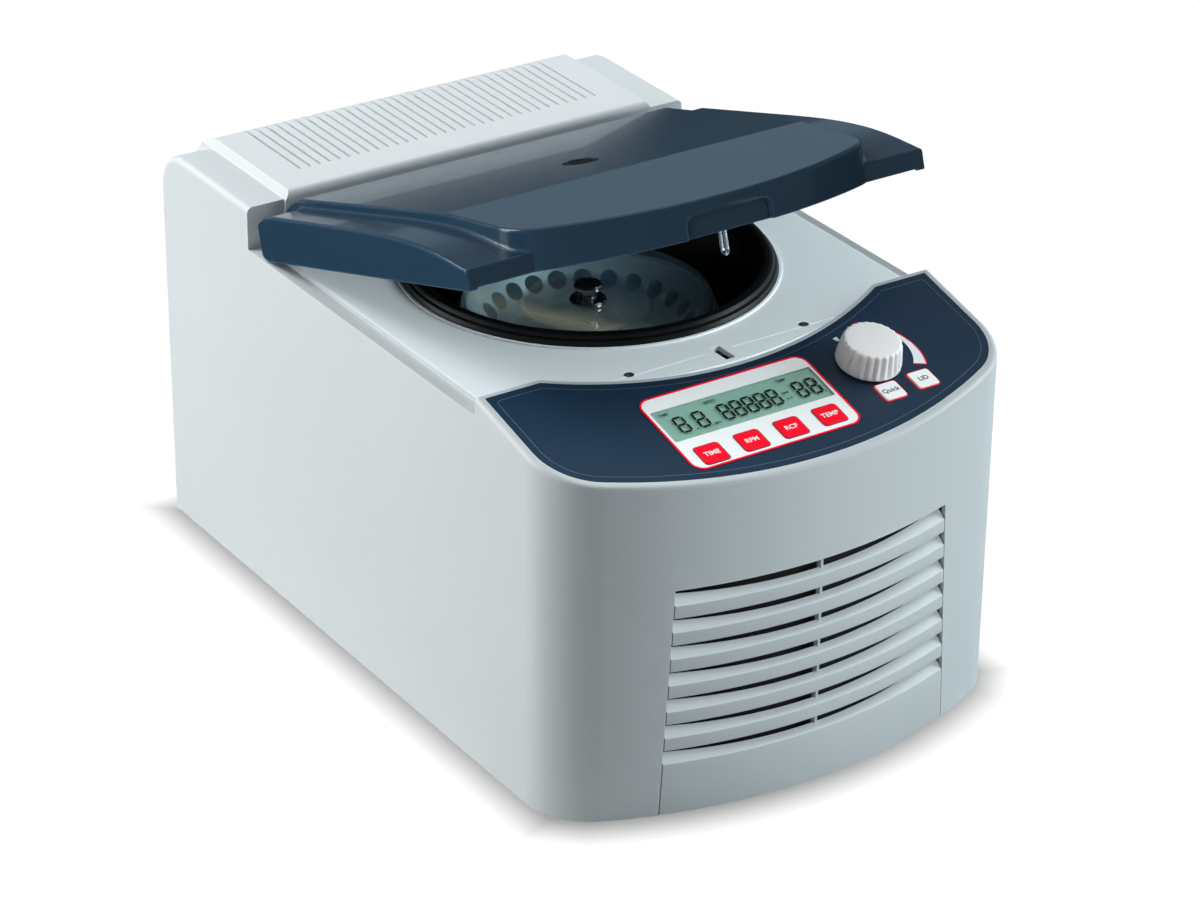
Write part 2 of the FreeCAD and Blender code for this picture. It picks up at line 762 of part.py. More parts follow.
def rotor_lid():
    rim_r = 68.5
    return lathe([
        (rim_r, 190.05), (rim_r, 194.2), (67.3, 195.6), (61.2, 195.6), (59.2, 194.4),
        (36.5, 190.6), (34.5, 189.7), (21, 189.7), (14, 190.7), (4.05, 190.7),
        (4.05, 188.4), (13.4, 188.4), (20.4, 187.4), (35.2, 187.4), (59.8, 192.2),
        (61.8, 193.4), (66.2, 193.4), (66.2, 190.05)])


def rotor_lid_knob():
    return lathe([
        (0, 182.4), (3.6, 182.4), (3.95, 183.0), (3.95, 190.85), (9.6, 190.85),
        (10.4, 191.5), (10.4, 192.6), (9.6, 193.5), (5.4, 194.2), (4.2, 195.4),
        (4.2, 197.2), (5.0, 198.2), (7.2, 198.7), (8.1, 199.6), (8.1, 200.9),
        (7.2, 202.0), (3.0, 202.8), (0, 202.9)])


# ---------------------------------------------------------------- lid, drawn closed
def opened(shape):
    return turned(shape, Vector(-1, 0, 0), lid_open_angle, Vector(0, hinge_y, hinge_z))


def plateau_taper():
    return (plateau_half_front - plateau_half_rear) / (plateau_front_y - plateau_rear_y)


def plateau_half(y):
    return plateau_half_rear + plateau_taper() * (y - plateau_rear_y)


def lid_plan(inset, z0, z1):
    """Plateau outline: tapered sides, curved front, rounded front corners."""
    front_r = lid_arc_r - inset
    corner_r = 26.0
    taper = plateau_taper()
    stretch = math.hypot(1, taper)
    # bisect for the corner centre that touches both the side line and the front arc
    low, high = -140.0, 60.0
    for _ in range(60):
        corner_y = 0.5 * (low + high)
        corner_x = plateau_half(corner_y) - inset - corner_r * stretch
        if math.hypot(corner_x, corner_y - arc_centre_y) > front_r - corner_r:
            low = corner_y
        else:
            high = corner_y
    scale = front_r / (front_r - corner_r)
    side = (corner_x + corner_r / stretch, corner_y - corner_r * taper / stretch)
    front = (corner_x * scale, arc_centre_y + (corner_y - arc_centre_y) * scale)
    side_angle, front_angle = [math.atan2(y - corner_y, x - corner_x) for x, y in (side, front)]
    bend = arc_point(corner_x, corner_y, corner_r, 0.5 * (side_angle + front_angle))
    rear = (plateau_half(130.0) - inset, 130.0)
    return path_z([
        (rear, side),
        (side, bend, front),
        (front, (0, arc_centre_y - front_r), mirror(front)),
        (mirror(front), mirror(bend), mirror(side)),
        (mirror(side), mirror(rear)),
        (mirror(rear), rear)], z0, z1)


def plateau_profile(inset, low_z):
    """Side profile of the plateau, curling round the hinge axis at the rear."""
    radius = barrel_r - inset
    foot_y = hinge_y - 3
    crest = (98.0 - 0.15 * inset, 240.8 - inset)
    shoulder = (109.2 - 0.5 * inset, 237.0 - 0.95 * inset)
    arc = (arc_point(hinge_y, hinge_z, radius, math.radians(20)),
           arc_point(hinge_y, hinge_z, radius, math.radians(-35)),
           (hinge_y, hinge_z - radius))
    return path_x(
        lines((-150, low_z), (-150, 232.0 - inset), (-48, 241.4 - inset), crest, shoulder,
              arc[0]) + [arc]
        + lines(arc[2], (foot_y, hinge_z - radius), (foot_y, low_z), (-150, low_z)), -150, 150)


def wing_solid(half, corners, top):
    """Smooth top curve closed by straight corners, both in (y, z)."""
    return path_x([top] + lines(top[-1], *corners, top[0]), -half, half)


# (y, z) outlines of the side wings and of the hollow inside them
wing_top = [(lid_front_y, 223.4), (-99, 227.1), (-85, 230.2), (-61, 233.7), (-33, 235.6),
            (0, lid_wing_z)]
wing_corners = [(94, lid_wing_z), (103, 234.5), (109.6, 231.8), (111.0, 229.6),
                (111.2, 216.8), (110.0, 213.8), (107.2, 211.7), (103, 210.7),
                (lid_front_y, 212.4)]
hollow_top = [(lid_front_y + lid_wall, 220.6), (-98.2, 224.3), (-84.4, 227.4),
              (-60.6, 231.0), (-33, 233.0), (0, 233.6)]
hollow_corners = [(94, 233.6), (102.4, 232.0), (107.6, 229.9), (108.6, 228.6),
                  (108.7, 219.2), (106.4, 217.4), (101, 216.8), (101, 195),
                  (lid_front_y + lid_wall, 195)]


def lid_wing():
    wing = wing_solid(lid_half, wing_corners, wing_top)
    wing = fillet(wing, 2.0, lambda at, edge: abs(abs(at.x) - lid_half) < 0.01
                  and at.z > 222.0)
    return fillet(wing, 1.6, lambda at, edge: abs(at.y - lid_front_y) < 0.01
                  and at.z > 222.5 and abs(at.x) < 5)


def lid_plateau():
    plateau = common(lid_plan(0, 205, 260), plateau_profile(0, lid_bottom_z))
    return fillet(plateau, 1.8, lambda at, edge: at.z > 231.0
                  and (abs(at.x) > 60 or at.y < -120)
                  and abs(at.z - 241.4) > 0.001 and at.y < 103.0)


def in_valley(shell, edge):
    """True for edges where the plateau sides meet the wings."""
    at = middle(edge)
    if not (60 < abs(at.x) < 123 and 222 < at.z < 236.4 and at.y < 100
            and abs(at.z - lid_wing_z) < 13.5):
        return False
    faces = shell.ancestorsOfType(edge, Part.Face)
    return (len(faces) == 2
            and all(f.normalAt(*f.Surface.parameter(at)).z > -0.2 for f in faces)
            and abs(abs(at.x) - plateau_half(at.y)) < 6)


def round_valleys(shell):
    # The kernel may refuse the larger radii; the shell stays sharp if all fail.
    for radius in (5.0, 3.0, 1.5):
        try:
            edges = [e for e in shell.Edges if in_valley(shell, e)]
            rounded = shell.makeFillet(radius, edges)
            if rounded.isValid() and rounded.Volume > shell.Volume:
                return rounded
        except Exception:
            pass
    return shell


def grip_back_wall():
    return common(box(-29, 29, -138.0, -135.4, lid_bottom_z, 230), lid_plan(0.5, 200, 250))


def lid_shell():
    inner_half = 138.0                # inside of the side skirts
    shell = round_valleys(fuse(lid_wing(), lid_plateau()))
    shell = shell.cut(box(-inner_half, inner_half, -160, 160, 200, lid_bottom_z))
    shell = shell.cut(fuse(
        common(lid_plan(lid_wall, 195, 260), plateau_profile(lid_wall, 195)),
        wing_solid(lid_half - lid_wall, hollow_corners, hollow_top)))
    # rear lower corner inside the skirts, cleared to swing over the deck
    shell = shell.cut(box(-inner_half, inner_half, hinge_y, 130, 200, hinge_z).cut(
        rod_x(14.1, -inner_half, inner_half, hinge_y, hinge_z)))
    # hinge tabs
    for side in SIDES:
        for near, far in ((84, 89.6), (104.4, 110)):
            x0, x1 = sorted((side * near, side * far))
            tab = fuse(box(x0, x1, hinge_y - 7, hinge_y + 7, hinge_z, 239.5),
                       rod_x(7.0, x0, x1, hinge_y, hinge_z))
            shell = shell.fuse(common(tab, plateau_profile(0.7, 195)))
    shell = shell.removeSplitter()
    # grip recess in the middle of the front edge
    shell = shell.fuse(grip_back_wall())
    grip = turned(rounded_box(-26.5, 26.5, 200, 225.4, 5.0, 100, 160), X_AXIS, 90)
    grip = common(grip, box(-60, 60, -160, -136.8, 190, 240))
    brow = prism_x([(-150, 225.39), (-139.5, 225.39), (-141.1, 227.6), (-150, 239.9)],
                   -27.5, 27.5)
    shell = cut(shell, grip, brow)
    # openings for the hinge brackets, the barrel between them, the pins and the viewport
    for side in SIDES:
        shell = shell.cut(side_box(side, 89.9, 104.1, 93, 120, 200, 232.0))
    return cut(shell, box(-83.9, 83.9, 93, 120, 200, hinge_z),
               rod_x(3.01, -115, 115, hinge_y, hinge_z),
               rod_z(10.5, 230, 250), rod_z(11.6, 200, 239.6)).removeSplitter()


def lid_liner():
    z0, z1 = 215.2, 217.2
    inset = lid_wall + 0.3
    half = lid_half - inset
    sheet = fuse(common(lid_plan(inset, z0, z1), box(-200, 200, -200, 92, 0, 300)),
                 box(-half, half, lid_front_y + inset, 92, z0, z1))
    # raised round middle with a collar under the viewport
    liner = sheet.cut(rod_z(105, 200, 230))
    liner = fuse(liner, tube(107, 105, z0, 222.4), rod_z(107, 220.4, 222.4))
    liner = fuse(liner, tube(13.6, 11.7, 221.0, 238.0))
    liner = cut(liner, rod_z(11.7, 200, 250), box(-84, 84, 78, 130, 200, 220.4),
                box(-84, 84, 99, 130, 200, 240))
    for side in SIDES:
        liner = cut(liner, side_box(side, 83.0, 111.0, 91.0, 130, 200, 240),
                    rod_z(1.15, 200, 230, 0, latch_y + side * 2.4))
    return cut(liner, grip_back_wall().cut(box(-100, 100, -200, -100, 219, 300)),
               box(-30, 30, -160, -135.3, 200, 230)).removeSplitter()


def lid_viewport():
    return fuse(rod_z(10.45, 238.2, 240.6), rod_z(11.5, 238.2, 239.5))


def latch_striker():
    """U-shaped wire loop hanging from a small plate."""
    wire_r, bend_r, bend_z = 1.0, 2.4, 202.4
    legs = fuse(rod_z(wire_r, bend_z, 218.6, 0, latch_y + bend_r),
                rod_z(wire_r, bend_z, 218.6, 0, latch_y - bend_r))
    bend = common(Part.makeTorus(bend_r, wire_r, Vector(0, latch_y, bend_z), X_AXIS),
                  box(-10, 10, -140, -120, 190, bend_z))
    return fuse(legs, bend, box(-4, 4, -133.2, -122, 217.2, 219.2))


def hinge_pins():
    return Part.makeCompound([
        rod_x(3.0, *sorted((side * 83.8, side * 110.2)), hinge_y, hinge_z) for side in SIDES])


def hinge_brackets():
    brackets = []
    for side in SIDES:
        x = side * hinge_x
        x0, x1 = x - 6.5, x + 6.5
        bracket = fuse(box(x0, x1, hinge_y - 6, hinge_y + 6, 203.6, hinge_z),
                       rod_x(6.0, x0, x1, hinge_y, hinge_z),
                       box(x - 13, x + 13, 90, 118, 203.6, 206.9))
        brackets.append(bracket.cut(rod_x(3.05, x0 - 9, x1 + 9, hinge_y, hinge_z)))
    return Part.makeCompound(brackets)


# ---------------------------------------------------------------- lid lock
def lid_lock_housing():
    return cut(box(-13, 13, -147, -120.5, 178, 206.8),
               box(-3.4, 3.4, -138.0, -122.2, 184, 210),
               rod_x(1.33, -20, 20, latch_y, bolt_z),
               box(-30, -9, -133.2, -126.8, 200.6, 207.2))


def lock_bolt():
    return fuse(rod_x(1.25, -23.0, -4.2, latch_y, bolt_z),
                rod_x(2.25, -44, -23.0, latch_y, bolt_z))


def lock_solenoid():
    return box(-52, -27.0, -137, -123, 188.0, 206.8).cut(
        rod_x(2.35, -45, -20, latch_y, bolt_z))


# ---------------------------------------------------------------- cooling
def condenser():
    fins = [box(-78 + i * 7.8, -77.2 + i * 7.8, -193, -169, 24, 140) for i in range(21)]
    pipes = [rod_x(3.2, -82, 82, y, 34 + row * 19.5) for row in range(6) for y in (-187, -175)]
    core = fuse(box(-80, -78, -194, -168, 22, 142), box(78.6, 80.6, -194, -168, 22, 142),
                *fins, *pipes)
    return fuse(core, box(-80, 80.6, -194, -168, 22, 23.4))


fan_z = 82                           # height of the fan axis
fan_back_y = -137.5


def to_fan(shape):
    """Fan frame (x, z, depth) to the machine frame; depth grows to the front."""
    return moved(turned(shape, X_AXIS, 90), 0, fan_back_y, 0)


def fan_spoke(angle):
    return moved(turned(box(-3, 3, 17, 58, 0, 3), Z_AXIS, angle), 0, fan_z, 0)


def fan_frame():
    frame = rounded_box(-60, 60, fan_z - 60, fan_z + 60, 4, 0, 26)
    frame = frame.cut(rod_z(56.5, -1, 40, 0, fan_z))
    frame = fuse(frame, tube(18.5, 4.0, 0.0, 8.0, 0, fan_z), fan_spoke(0))
    for angle in (90, 180, 270):
        frame = frame.fuse(fan_spoke(angle))
    frame = frame.removeSplitter()
    for side in SIDES:
        for end in SIDES:
            frame = frame.cut(rod_z(2.1, -1, 30, side * 52.5, fan_z + end * 52.5))
    return to_fan(frame)


def fan_blades():
    tip_r = 54.5
    hub = tube(22, 19.2, 9.2, 24)
    blade = turned(box(20.5, tip_r, -10, 10, -0.9, 0.9), X_AXIS, 34)
    blade = common(moved(blade, 0, 0, 15.5), rod_z(tip_r, 5, 25))
    fan = fuse(hub, rod_z(22, 22.5, 24.5), rod_z(3.95, 2.0, 23), *polar(blade, 7))
    return to_fan(moved(fan, 0, fan_z, 0))


def compressor():
    x, y = -70, 172
    body = fuse(rod_z(44, 20, 104, x, y), Part.makeCone(44, 34, 12, Vector(x, y, 104)),
                Part.makeCone(38, 44, 6, Vector(x, y, 14)))
    body = fuse(body, box(x - 48, x + 48, y - 12, y + 12, 12.5, 16), rod_z(7, 114, 122, x, y))
    for side in SIDES:
        body = body.fuse(rod_z(4, base_top_z, 14, x + side * 42, y))
    return body.removeSplitter()


def pipe(points, radius):
    """Round pipe through the points, with a ball at each bend."""
    points = [Vector(*p) for p in points]
    runs = [Part.makeCylinder(radius, (end - start).Length, start, end - start)
            for start, end in lines(*points)]
    return fuse(*runs, *[Part.makeSphere(radius, p) for p in points[1:-1]])


def refrigerant_pipes():
    thick = pipe([(-112, 140, 40), (-128, 120, 40), (-128, -150, 40), (-100, -181, 40),
                  (-82.3, -187, 40)], 2.5)
    thin = pipe([(-82.6, -175, 60), (-96, -165, 60), (-122, -140, 60), (-122, 60, 60),
                 (-122, 100, 100), (-100, 100, 150), (-82, 100, 200), (-82, 100, 203.6)], 2.0)
    canister = rod_y(7.5, -60, 0, -122, 60)
    return Part.makeCompound([thick, fuse(thin, canister)])


# ---------------------------------------------------------------- electrics
rocker_x, rocker_y = 74.0, 220.2


def power_supply():
    return fuse(box(4, 110, 134, 205, base_top_z, 34), box(18, 52, 140, 196, 33, 58)).cut(
        box(6, 108, 136, 203, 8.5, 30.0))


def power_inlet():
    inlet = fuse(box(57, 91, 223.4, 224.9, 37, 64), box(60, 88, 198, 223.5, 40, 61))
    inlet = inlet.cut(box(62.5, 85.5, 202, 230, 46, 59))
    for x, z in ((67, 51), (81, 51), (74, 55)):
        inlet = fuse(inlet, box(x - 1, x + 1, 200, 218, z - 2, z + 2))
    # two fine grooves across the flange, below the socket
    return cut(inlet, *[box(64, 84, 223.9, 230, z, z + 0.5) for z in (41.4, 44.4)])


def switch_frame():
    return cut(fuse(box(58, 90, 223.4, 224.7, 81, 99), box(61, 87, 206, 223.5, 84, 96)),
               box(63, 85, 208.5, 230, 85.2, 94.8),
               rod_z(1.55, 84.1, 95.9, rocker_x, rocker_y))


def power_rocker():
    z0, z1 = 85.6, 94.4
    section = [(-10.2, 3.1), (0, 2.1), (10.2, 3.1), (10.2, -1.2), (0, -6.0), (-10.2, -1.2)]
    rocker = polygon_face([(x, y, z0) for x, y in section]).extrude(Vector(0, 0, z1 - z0))
    rocker = fuse(rocker, rod_z(1.5, 84.3, 95.7))
    return moved(turned(rocker, Z_AXIS, -8), rocker_x, rocker_y, 0)


# ---------------------------------------------------------------- export
# Each function is named after the piece it builds.
fixed_pieces = (
    main_housing, rear_vent_cover, rear_panel, case_screws, front_grille, air_filter,
    top_deck, deck_screws, panel_overlay, panel_carrier, display_bezel, display_window,
    lcd_module, control_pcb, encoder_body, speed_knob, chamber_bowl, chamber_gasket,
    chamber_insulation, evaporator_coil, chamber_support, base_plate, rubber_feet,
    foot_screws, motor_housing, motor_bearings, motor_stator, motor_rotor, drive_shaft,
    motor_mount_plate, motor_mounts, motor_stand, shaft_seal, rotor_body, rotor_lid,
    rotor_lid_knob, hinge_brackets, lid_lock_housing, lock_bolt, lock_solenoid, condenser,
    fan_frame, fan_blades, compressor, refrigerant_pipes, power_supply, power_inlet,
    switch_frame, power_rocker)
lid_pieces = (lid_shell, lid_liner, lid_viewport, latch_striker, hinge_pins)

for build in fixed_pieces:
    export(build.__name__, build())
for build in lid_pieces:
    export(build.__name__, opened(build()))
for key in keys:
    export(key[0], key_cap(key))
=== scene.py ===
"""Looks of a benchtop centrifuge with a hinged lid over a rotor chamber.

The machine stands on z = 0 with its curved front towards -y and its right side towards +x.
Pieces are drawn in millimetres and turned into metres as meshes. The sloping control panel
has its own frame: x across, v up the slope from its front edge, w out of its face.
Lights and camera are placed in metres.
"""
import bpy
import bmesh
import math
from mathutils import Matrix, Vector

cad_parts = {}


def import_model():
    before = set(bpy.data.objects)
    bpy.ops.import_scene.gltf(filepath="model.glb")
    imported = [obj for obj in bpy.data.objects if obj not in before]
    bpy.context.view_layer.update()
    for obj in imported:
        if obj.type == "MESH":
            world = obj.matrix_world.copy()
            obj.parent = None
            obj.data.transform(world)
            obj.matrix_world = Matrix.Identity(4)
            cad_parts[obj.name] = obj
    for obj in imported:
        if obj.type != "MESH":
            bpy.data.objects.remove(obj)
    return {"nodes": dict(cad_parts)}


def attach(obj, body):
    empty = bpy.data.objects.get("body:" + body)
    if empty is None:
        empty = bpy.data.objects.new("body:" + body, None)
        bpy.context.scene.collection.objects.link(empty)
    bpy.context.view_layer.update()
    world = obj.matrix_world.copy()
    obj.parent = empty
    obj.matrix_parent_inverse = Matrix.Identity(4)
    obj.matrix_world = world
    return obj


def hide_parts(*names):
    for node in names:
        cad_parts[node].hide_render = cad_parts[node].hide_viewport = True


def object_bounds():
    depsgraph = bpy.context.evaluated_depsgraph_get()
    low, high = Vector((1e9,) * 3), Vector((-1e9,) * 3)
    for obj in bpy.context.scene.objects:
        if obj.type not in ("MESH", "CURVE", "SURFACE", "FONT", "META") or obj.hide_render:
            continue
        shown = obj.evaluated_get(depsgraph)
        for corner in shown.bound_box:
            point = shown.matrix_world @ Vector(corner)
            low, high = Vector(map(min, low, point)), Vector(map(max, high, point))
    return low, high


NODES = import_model()["nodes"]
cad_lo, cad_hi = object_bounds()

# ------------------------------------------------------------------ driving sizes (mm)
MM = 0.001                                  # metres in a millimetre
FRONT_R, FRONT_CY = 290.0, 65.0             # plan arc of the front face: radius, centre y
HALF_WIDTH = 144.0
CORNER_R = 40.0                             # plan radius of the front corners

PANEL_ANGLE = math.atan(0.245)
PANEL_Y, PANEL_Z = FRONT_CY - FRONT_R, 193.4    # front edge of the panel face
PANEL = (Matrix.Translation((0, PANEL_Y * MM, PANEL_Z * MM))
         @ Matrix.Rotation(PANEL_ANGLE, 4, "X"))


def slope(y):
    """Distance v up the panel for a plan y."""
    return (y - PANEL_Y) / math.cos(PANEL_ANGLE)


# ------------------------------------------------------------------ shader graphs
class Graph:
    """A node tree, emptied and built up through short calls."""

    def __init__(self, tree):
        self.tree = tree
        tree.nodes.clear()

    def feed(self, socket, value):
        """Link an output to an input, or set the input's value."""
        if isinstance(value, bpy.types.NodeSocket):
            self.tree.links.new(value, socket)
        elif socket.type == "RGBA":
            socket.default_value = (*value, 1.0)
        else:
            socket.default_value = value

    def node(self, kind, inputs=(), **settings):
        """Add a node; inputs maps socket names or numbers to values or outputs."""
        node = self.tree.nodes.new("ShaderNode" + kind)
        for key, value in settings.items():
            setattr(node, key, value)
        for key, value in dict(inputs).items():
            self.feed(node.inputs[key], value)
        return node

    def ramp(self, factor, stops):
        """Colour ramp; stops are (position, colour or grey)."""
        node = self.node("ValToRGB", {0: factor})
        elements = node.color_ramp.elements
        while len(elements) < len(stops):
            elements.new(0.5)
        for i, (position, colour) in enumerate(stops):
            if not isinstance(colour, tuple):
                colour = (colour,) * 3
            elements[i].position = position
            elements[i].color = (*colour, 1.0)
        return node.outputs[0]

    def remap(self, value, source, target=(0.0, 1.0)):
        inputs = dict(enumerate((value, *source, *target)))
        return self.node("MapRange", inputs).outputs[0]

    def mix(self, factor, a, b, mode="MIX"):
        node = self.node("Mix", {0: factor, 6: a, 7: b}, data_type="RGBA", blend_type=mode)
        return node.outputs[2]

    def mix_shader(self, factor, a, b):
        return self.node("MixShader", {0: factor, 1: a, 2: b}).outputs[0]

    def math(self, operation, *values):
        return self.node("Math", enumerate(values), operation=operation).outputs[0]

    def measure(self, operation, *vectors):
        """Vector operation with a plain number as its result."""
        node = self.node("VectorMath", enumerate(vectors), operation=operation)
        return node.outputs["Value"]

    def split(self, vector):
        return self.node("SeparateXYZ", {0: vector}).outputs


MATERIALS = {}
INPUTS = {"colour": "Base Color", "roughness": "Roughness", "metallic": "Metallic",
          "coat": "Coat Weight", "specular": "Specular IOR Level",
          "transmission": "Transmission Weight", "ior": "IOR"}


class Material(Graph):
    """A principled material, kept in MATERIALS under its name."""

    def __init__(self, name):
        self.material = bpy.data.materials.new(name)
        self.material.use_nodes = True
        super().__init__(self.material.node_tree)
        self.output = self.node("OutputMaterial")
        self.principled = self.node("BsdfPrincipled")
        self.base = self.principled.outputs[0]
        self.surface(self.base)
        self.place = self.node("TexCoord").outputs["Object"]
        self.normal = None
        MATERIALS[name] = self.material

    def surface(self, shader):
        self.feed(self.output.inputs[0], shader)

    def set(self, **values):
        for key, value in values.items():
            self.feed(self.principled.inputs[INPUTS[key]], value)

    def noise(self, scale, detail=3.0, roughness=0.5, stretch=None):
        place = self.place
        if stretch:
            place = self.node("Mapping", {0: place, "Scale": stretch}).outputs[0]
        return self.node("TexNoise", {"Scale": scale, "Detail": detail, "Roughness": roughness,
                                      "Vector": place}).outputs["Fac"]

    def bump(self, height, strength, distance):
        """Add relief on top of any earlier bump."""
        inputs = {"Strength": strength, "Distance": distance, "Height": height}
        if self.normal:
            inputs["Normal"] = self.normal
        self.normal = self.node("Bump", inputs).outputs[0]
        self.set_normal()

    def set_normal(self):
        self.feed(self.principled.inputs["Normal"], self.normal)

    def edge(self, radius):
        """0 on flats, rising on edges and corners."""
        rounded = self.node("Bevel", {0: radius}, samples=4).outputs[0]
        true_normal = self.node("NewGeometry").outputs["Normal"]
        return self.remap(self.measure("DOT_PRODUCT", rounded, true_normal), source=(1.0, 0.86))


# ------------------------------------------------------------------ kinds of material
def srgb(*levels):
    """Linear colour from 0-255 sRGB levels."""
    def linear(c):
        return c / 12.92 if c <= 0.04045 else ((c + 0.055) / 1.055) ** 2.4
    return tuple(linear(level / 255.0) for level in levels)


def shade(colour, factor):
    return tuple(min(1, c * factor) for c in colour)


def plastic(name, colour, roughness=0.42, grain=1.0, vary=0.03, coat=0.0, specular=0.5,
            grain_scale=1500, edge_highlight=None, patch=0.06):
    """Moulded plastic: vary is the colour drift, patch the roughness drift; the edge colour is a
    painted highlight on edges and corners.
    """
    m = Material(name)
    drift = m.noise(scale=7.0, detail=4.0)
    fine = m.noise(scale=grain_scale, detail=2.0)
    middle = m.noise(scale=60.0, detail=4.0, roughness=0.6)
    tone = m.ramp(drift, [(0.3, shade(colour, 1 - vary)), (0.7, shade(colour, 1 + vary))])
    # painted highlight: a paler colour on edges and corners
    if edge_highlight:
        tone = m.mix(m.edge(radius=0.0012), tone, edge_highlight)
    m.set(colour=tone, coat=coat, specular=specular,
          roughness=m.remap(middle, source=(0.25, 0.75),
                            target=(roughness - patch, roughness + patch)))
    m.bump(fine, strength=0.10 * grain, distance=0.00012)
    m.bump(middle, strength=0.5 * patch, distance=0.0004)


def ink(name, colour, vary=0.01, specular=0.5, roughness=0.4):
    """Flat print on the panel."""
    plastic(name, colour, roughness=roughness, grain=0.3, vary=vary, specular=specular)


def louvre_plastic(name, colour, front, top):
    """Housing plastic with painted light: upright faces scaled by front as painted shade, faces
    turned up scaled by top as a painted highlight.
    """
    m = Material(name)
    height = m.split(m.node("NewGeometry").outputs["Normal"])[2]
    upward_highlight = m.remap(height, source=(0.15, 0.55))
    tone = m.ramp(m.noise(scale=7.0, detail=4.0), [(0.3, shade(colour, 0.985)), (0.7, colour)])
    # painted shade on upright faces, painted highlight on faces turned up
    tone = m.mix(1.0, tone, m.mix(upward_highlight, (front,) * 3, (top,) * 3), mode="MULTIPLY")
    middle = m.noise(scale=60.0, detail=4.0, roughness=0.6)
    m.set(colour=tone, specular=0.5,
          roughness=m.remap(middle, source=(0.25, 0.75), target=(0.40, 0.50)))
    m.bump(m.noise(scale=1500, detail=2.0), strength=0.10, distance=0.00012)


def metal(name, colour, roughness=0.3, brushed=None, scratch=0.4, vary=0.06, metallic=1.0):
    """Metal; brushed is the stretch of its grain along x, y, z."""
    m = Material(name)
    drift = m.noise(scale=18.0, detail=5.0)
    if brushed:
        grain = m.noise(scale=90.0, detail=4.0, roughness=0.6, stretch=brushed)
    else:
        grain = m.noise(scale=400.0, detail=3.0)
    tone = m.ramp(drift, [(0.3, shade(colour, 1 - vary)), (0.7, shade(colour, 1 + vary))])
    m.set(colour=tone, metallic=metallic,
          roughness=m.remap(grain, source=(0.3, 0.7),
                            target=(max(0.04, roughness - 0.08), roughness + 0.1)))
    m.bump(grain, strength=0.12 * scratch, distance=0.0002)


def rubber(name, colour, roughness, specular):
    """Dark rubber with paler dusty patches."""
    m = Material(name)
    fine = m.noise(scale=700.0, detail=3.0)
    dust = m.noise(scale=25.0, detail=5.0, roughness=0.6)
    dusty = tuple(c * 2.2 + 0.004 for c in colour)
    m.set(colour=m.ramp(dust, [(0.35, colour), (0.8, dusty)]), specular=specular,
          roughness=m.remap(dust, source=(0.3, 0.7),
                            target=(roughness - 0.1, roughness + 0.12)))
    m.bump(fine, strength=0.12, distance=0.0002)


def see_through(name, colour, roughness, clearness=0.0):
    """Tinted transmission; clearness is the share that lets light straight through."""
    m = Material(name)
    drift = m.noise(scale=40.0, detail=4.0)
    m.set(colour=m.ramp(drift, [(0.3, shade(colour, 0.97)), (0.7, colour)]),
          transmission=1.0, ior=1.45,
          roughness=m.remap(drift, source=(0.3, 0.7), target=(roughness, roughness + 0.06)))
    m.bump(m.noise(scale=220.0, detail=2.0), strength=0.03, distance=0.0003)
    if clearness:
        straight = m.node("BsdfTransparent", {0: colour}).outputs[0]
        m.surface(m.mix_shader(clearness, m.base, straight))


def rotor_lid_plastic(name):
    """Clear disc with a painted sheen from straw to blue across it, with a less clear middle and
    rim.
    """
    m = Material(name)
    x, y, _ = m.split(m.place)
    from_centre = m.measure("LENGTH", m.node("CombineXYZ", {0: x, 1: y}).outputs[0])
    diagonal = m.math("MULTIPLY_ADD", y, 0.51, m.math("MULTIPLY", x, 0.86))
    across = m.remap(diagonal, source=(-0.068, 0.068))
    # painted sheen: a straw highlight streak and a bluish reflection laid across the disc
    painted_sheen = m.ramp(across, [(0.0, (0.05, 0.07, 0.08)), (0.22, (0.13, 0.14, 0.13)),
                           (0.32, (0.36, 0.36, 0.26)), (0.42, (0.08, 0.10, 0.10)),
                           (0.70, (0.025, 0.05, 0.08)), (1.0, (0.05, 0.09, 0.14))])
    swirl = m.noise(scale=9.0, detail=3.0, roughness=0.5, stretch=(1.0, 4.0, 1.0))
    swirl_share = m.remap(swirl, source=(0.35, 0.7), target=(0.0, 0.18))
    m.set(colour=m.mix(swirl_share, painted_sheen, (0.10, 0.12, 0.13)), specular=0.7,
          roughness=m.remap(swirl, source=(0.3, 0.7), target=(0.08, 0.16)))
    m.bump(m.noise(scale=220.0, detail=2.0), strength=0.03, distance=0.0003)
    # clearness by distance from the centre, in metres
    clearness = m.ramp(from_centre, [(0.0, 0.42), (0.0355, 0.42), (0.0375, 0.80),
                                     (0.066, 0.80), (0.0675, 0.45)])
    straight = m.node("BsdfTransparent", {0: (0.86, 0.93, 0.97)}).outputs[0]
    m.surface(m.mix_shader(clearness, m.base, straight))


# ------------------------------------------------------------------ the materials
HOUSING_GREY = srgb(207, 214, 216)
# paler grey for edges and corners, a painted highlight
EDGE_HIGHLIGHT_GREY = srgb(222, 228, 230)
FILM_WHITE = srgb(242, 247, 247)

plastic("housing_grey", HOUSING_GREY, roughness=0.44, vary=0.012, edge_highlight=EDGE_HIGHLIGHT_GREY)
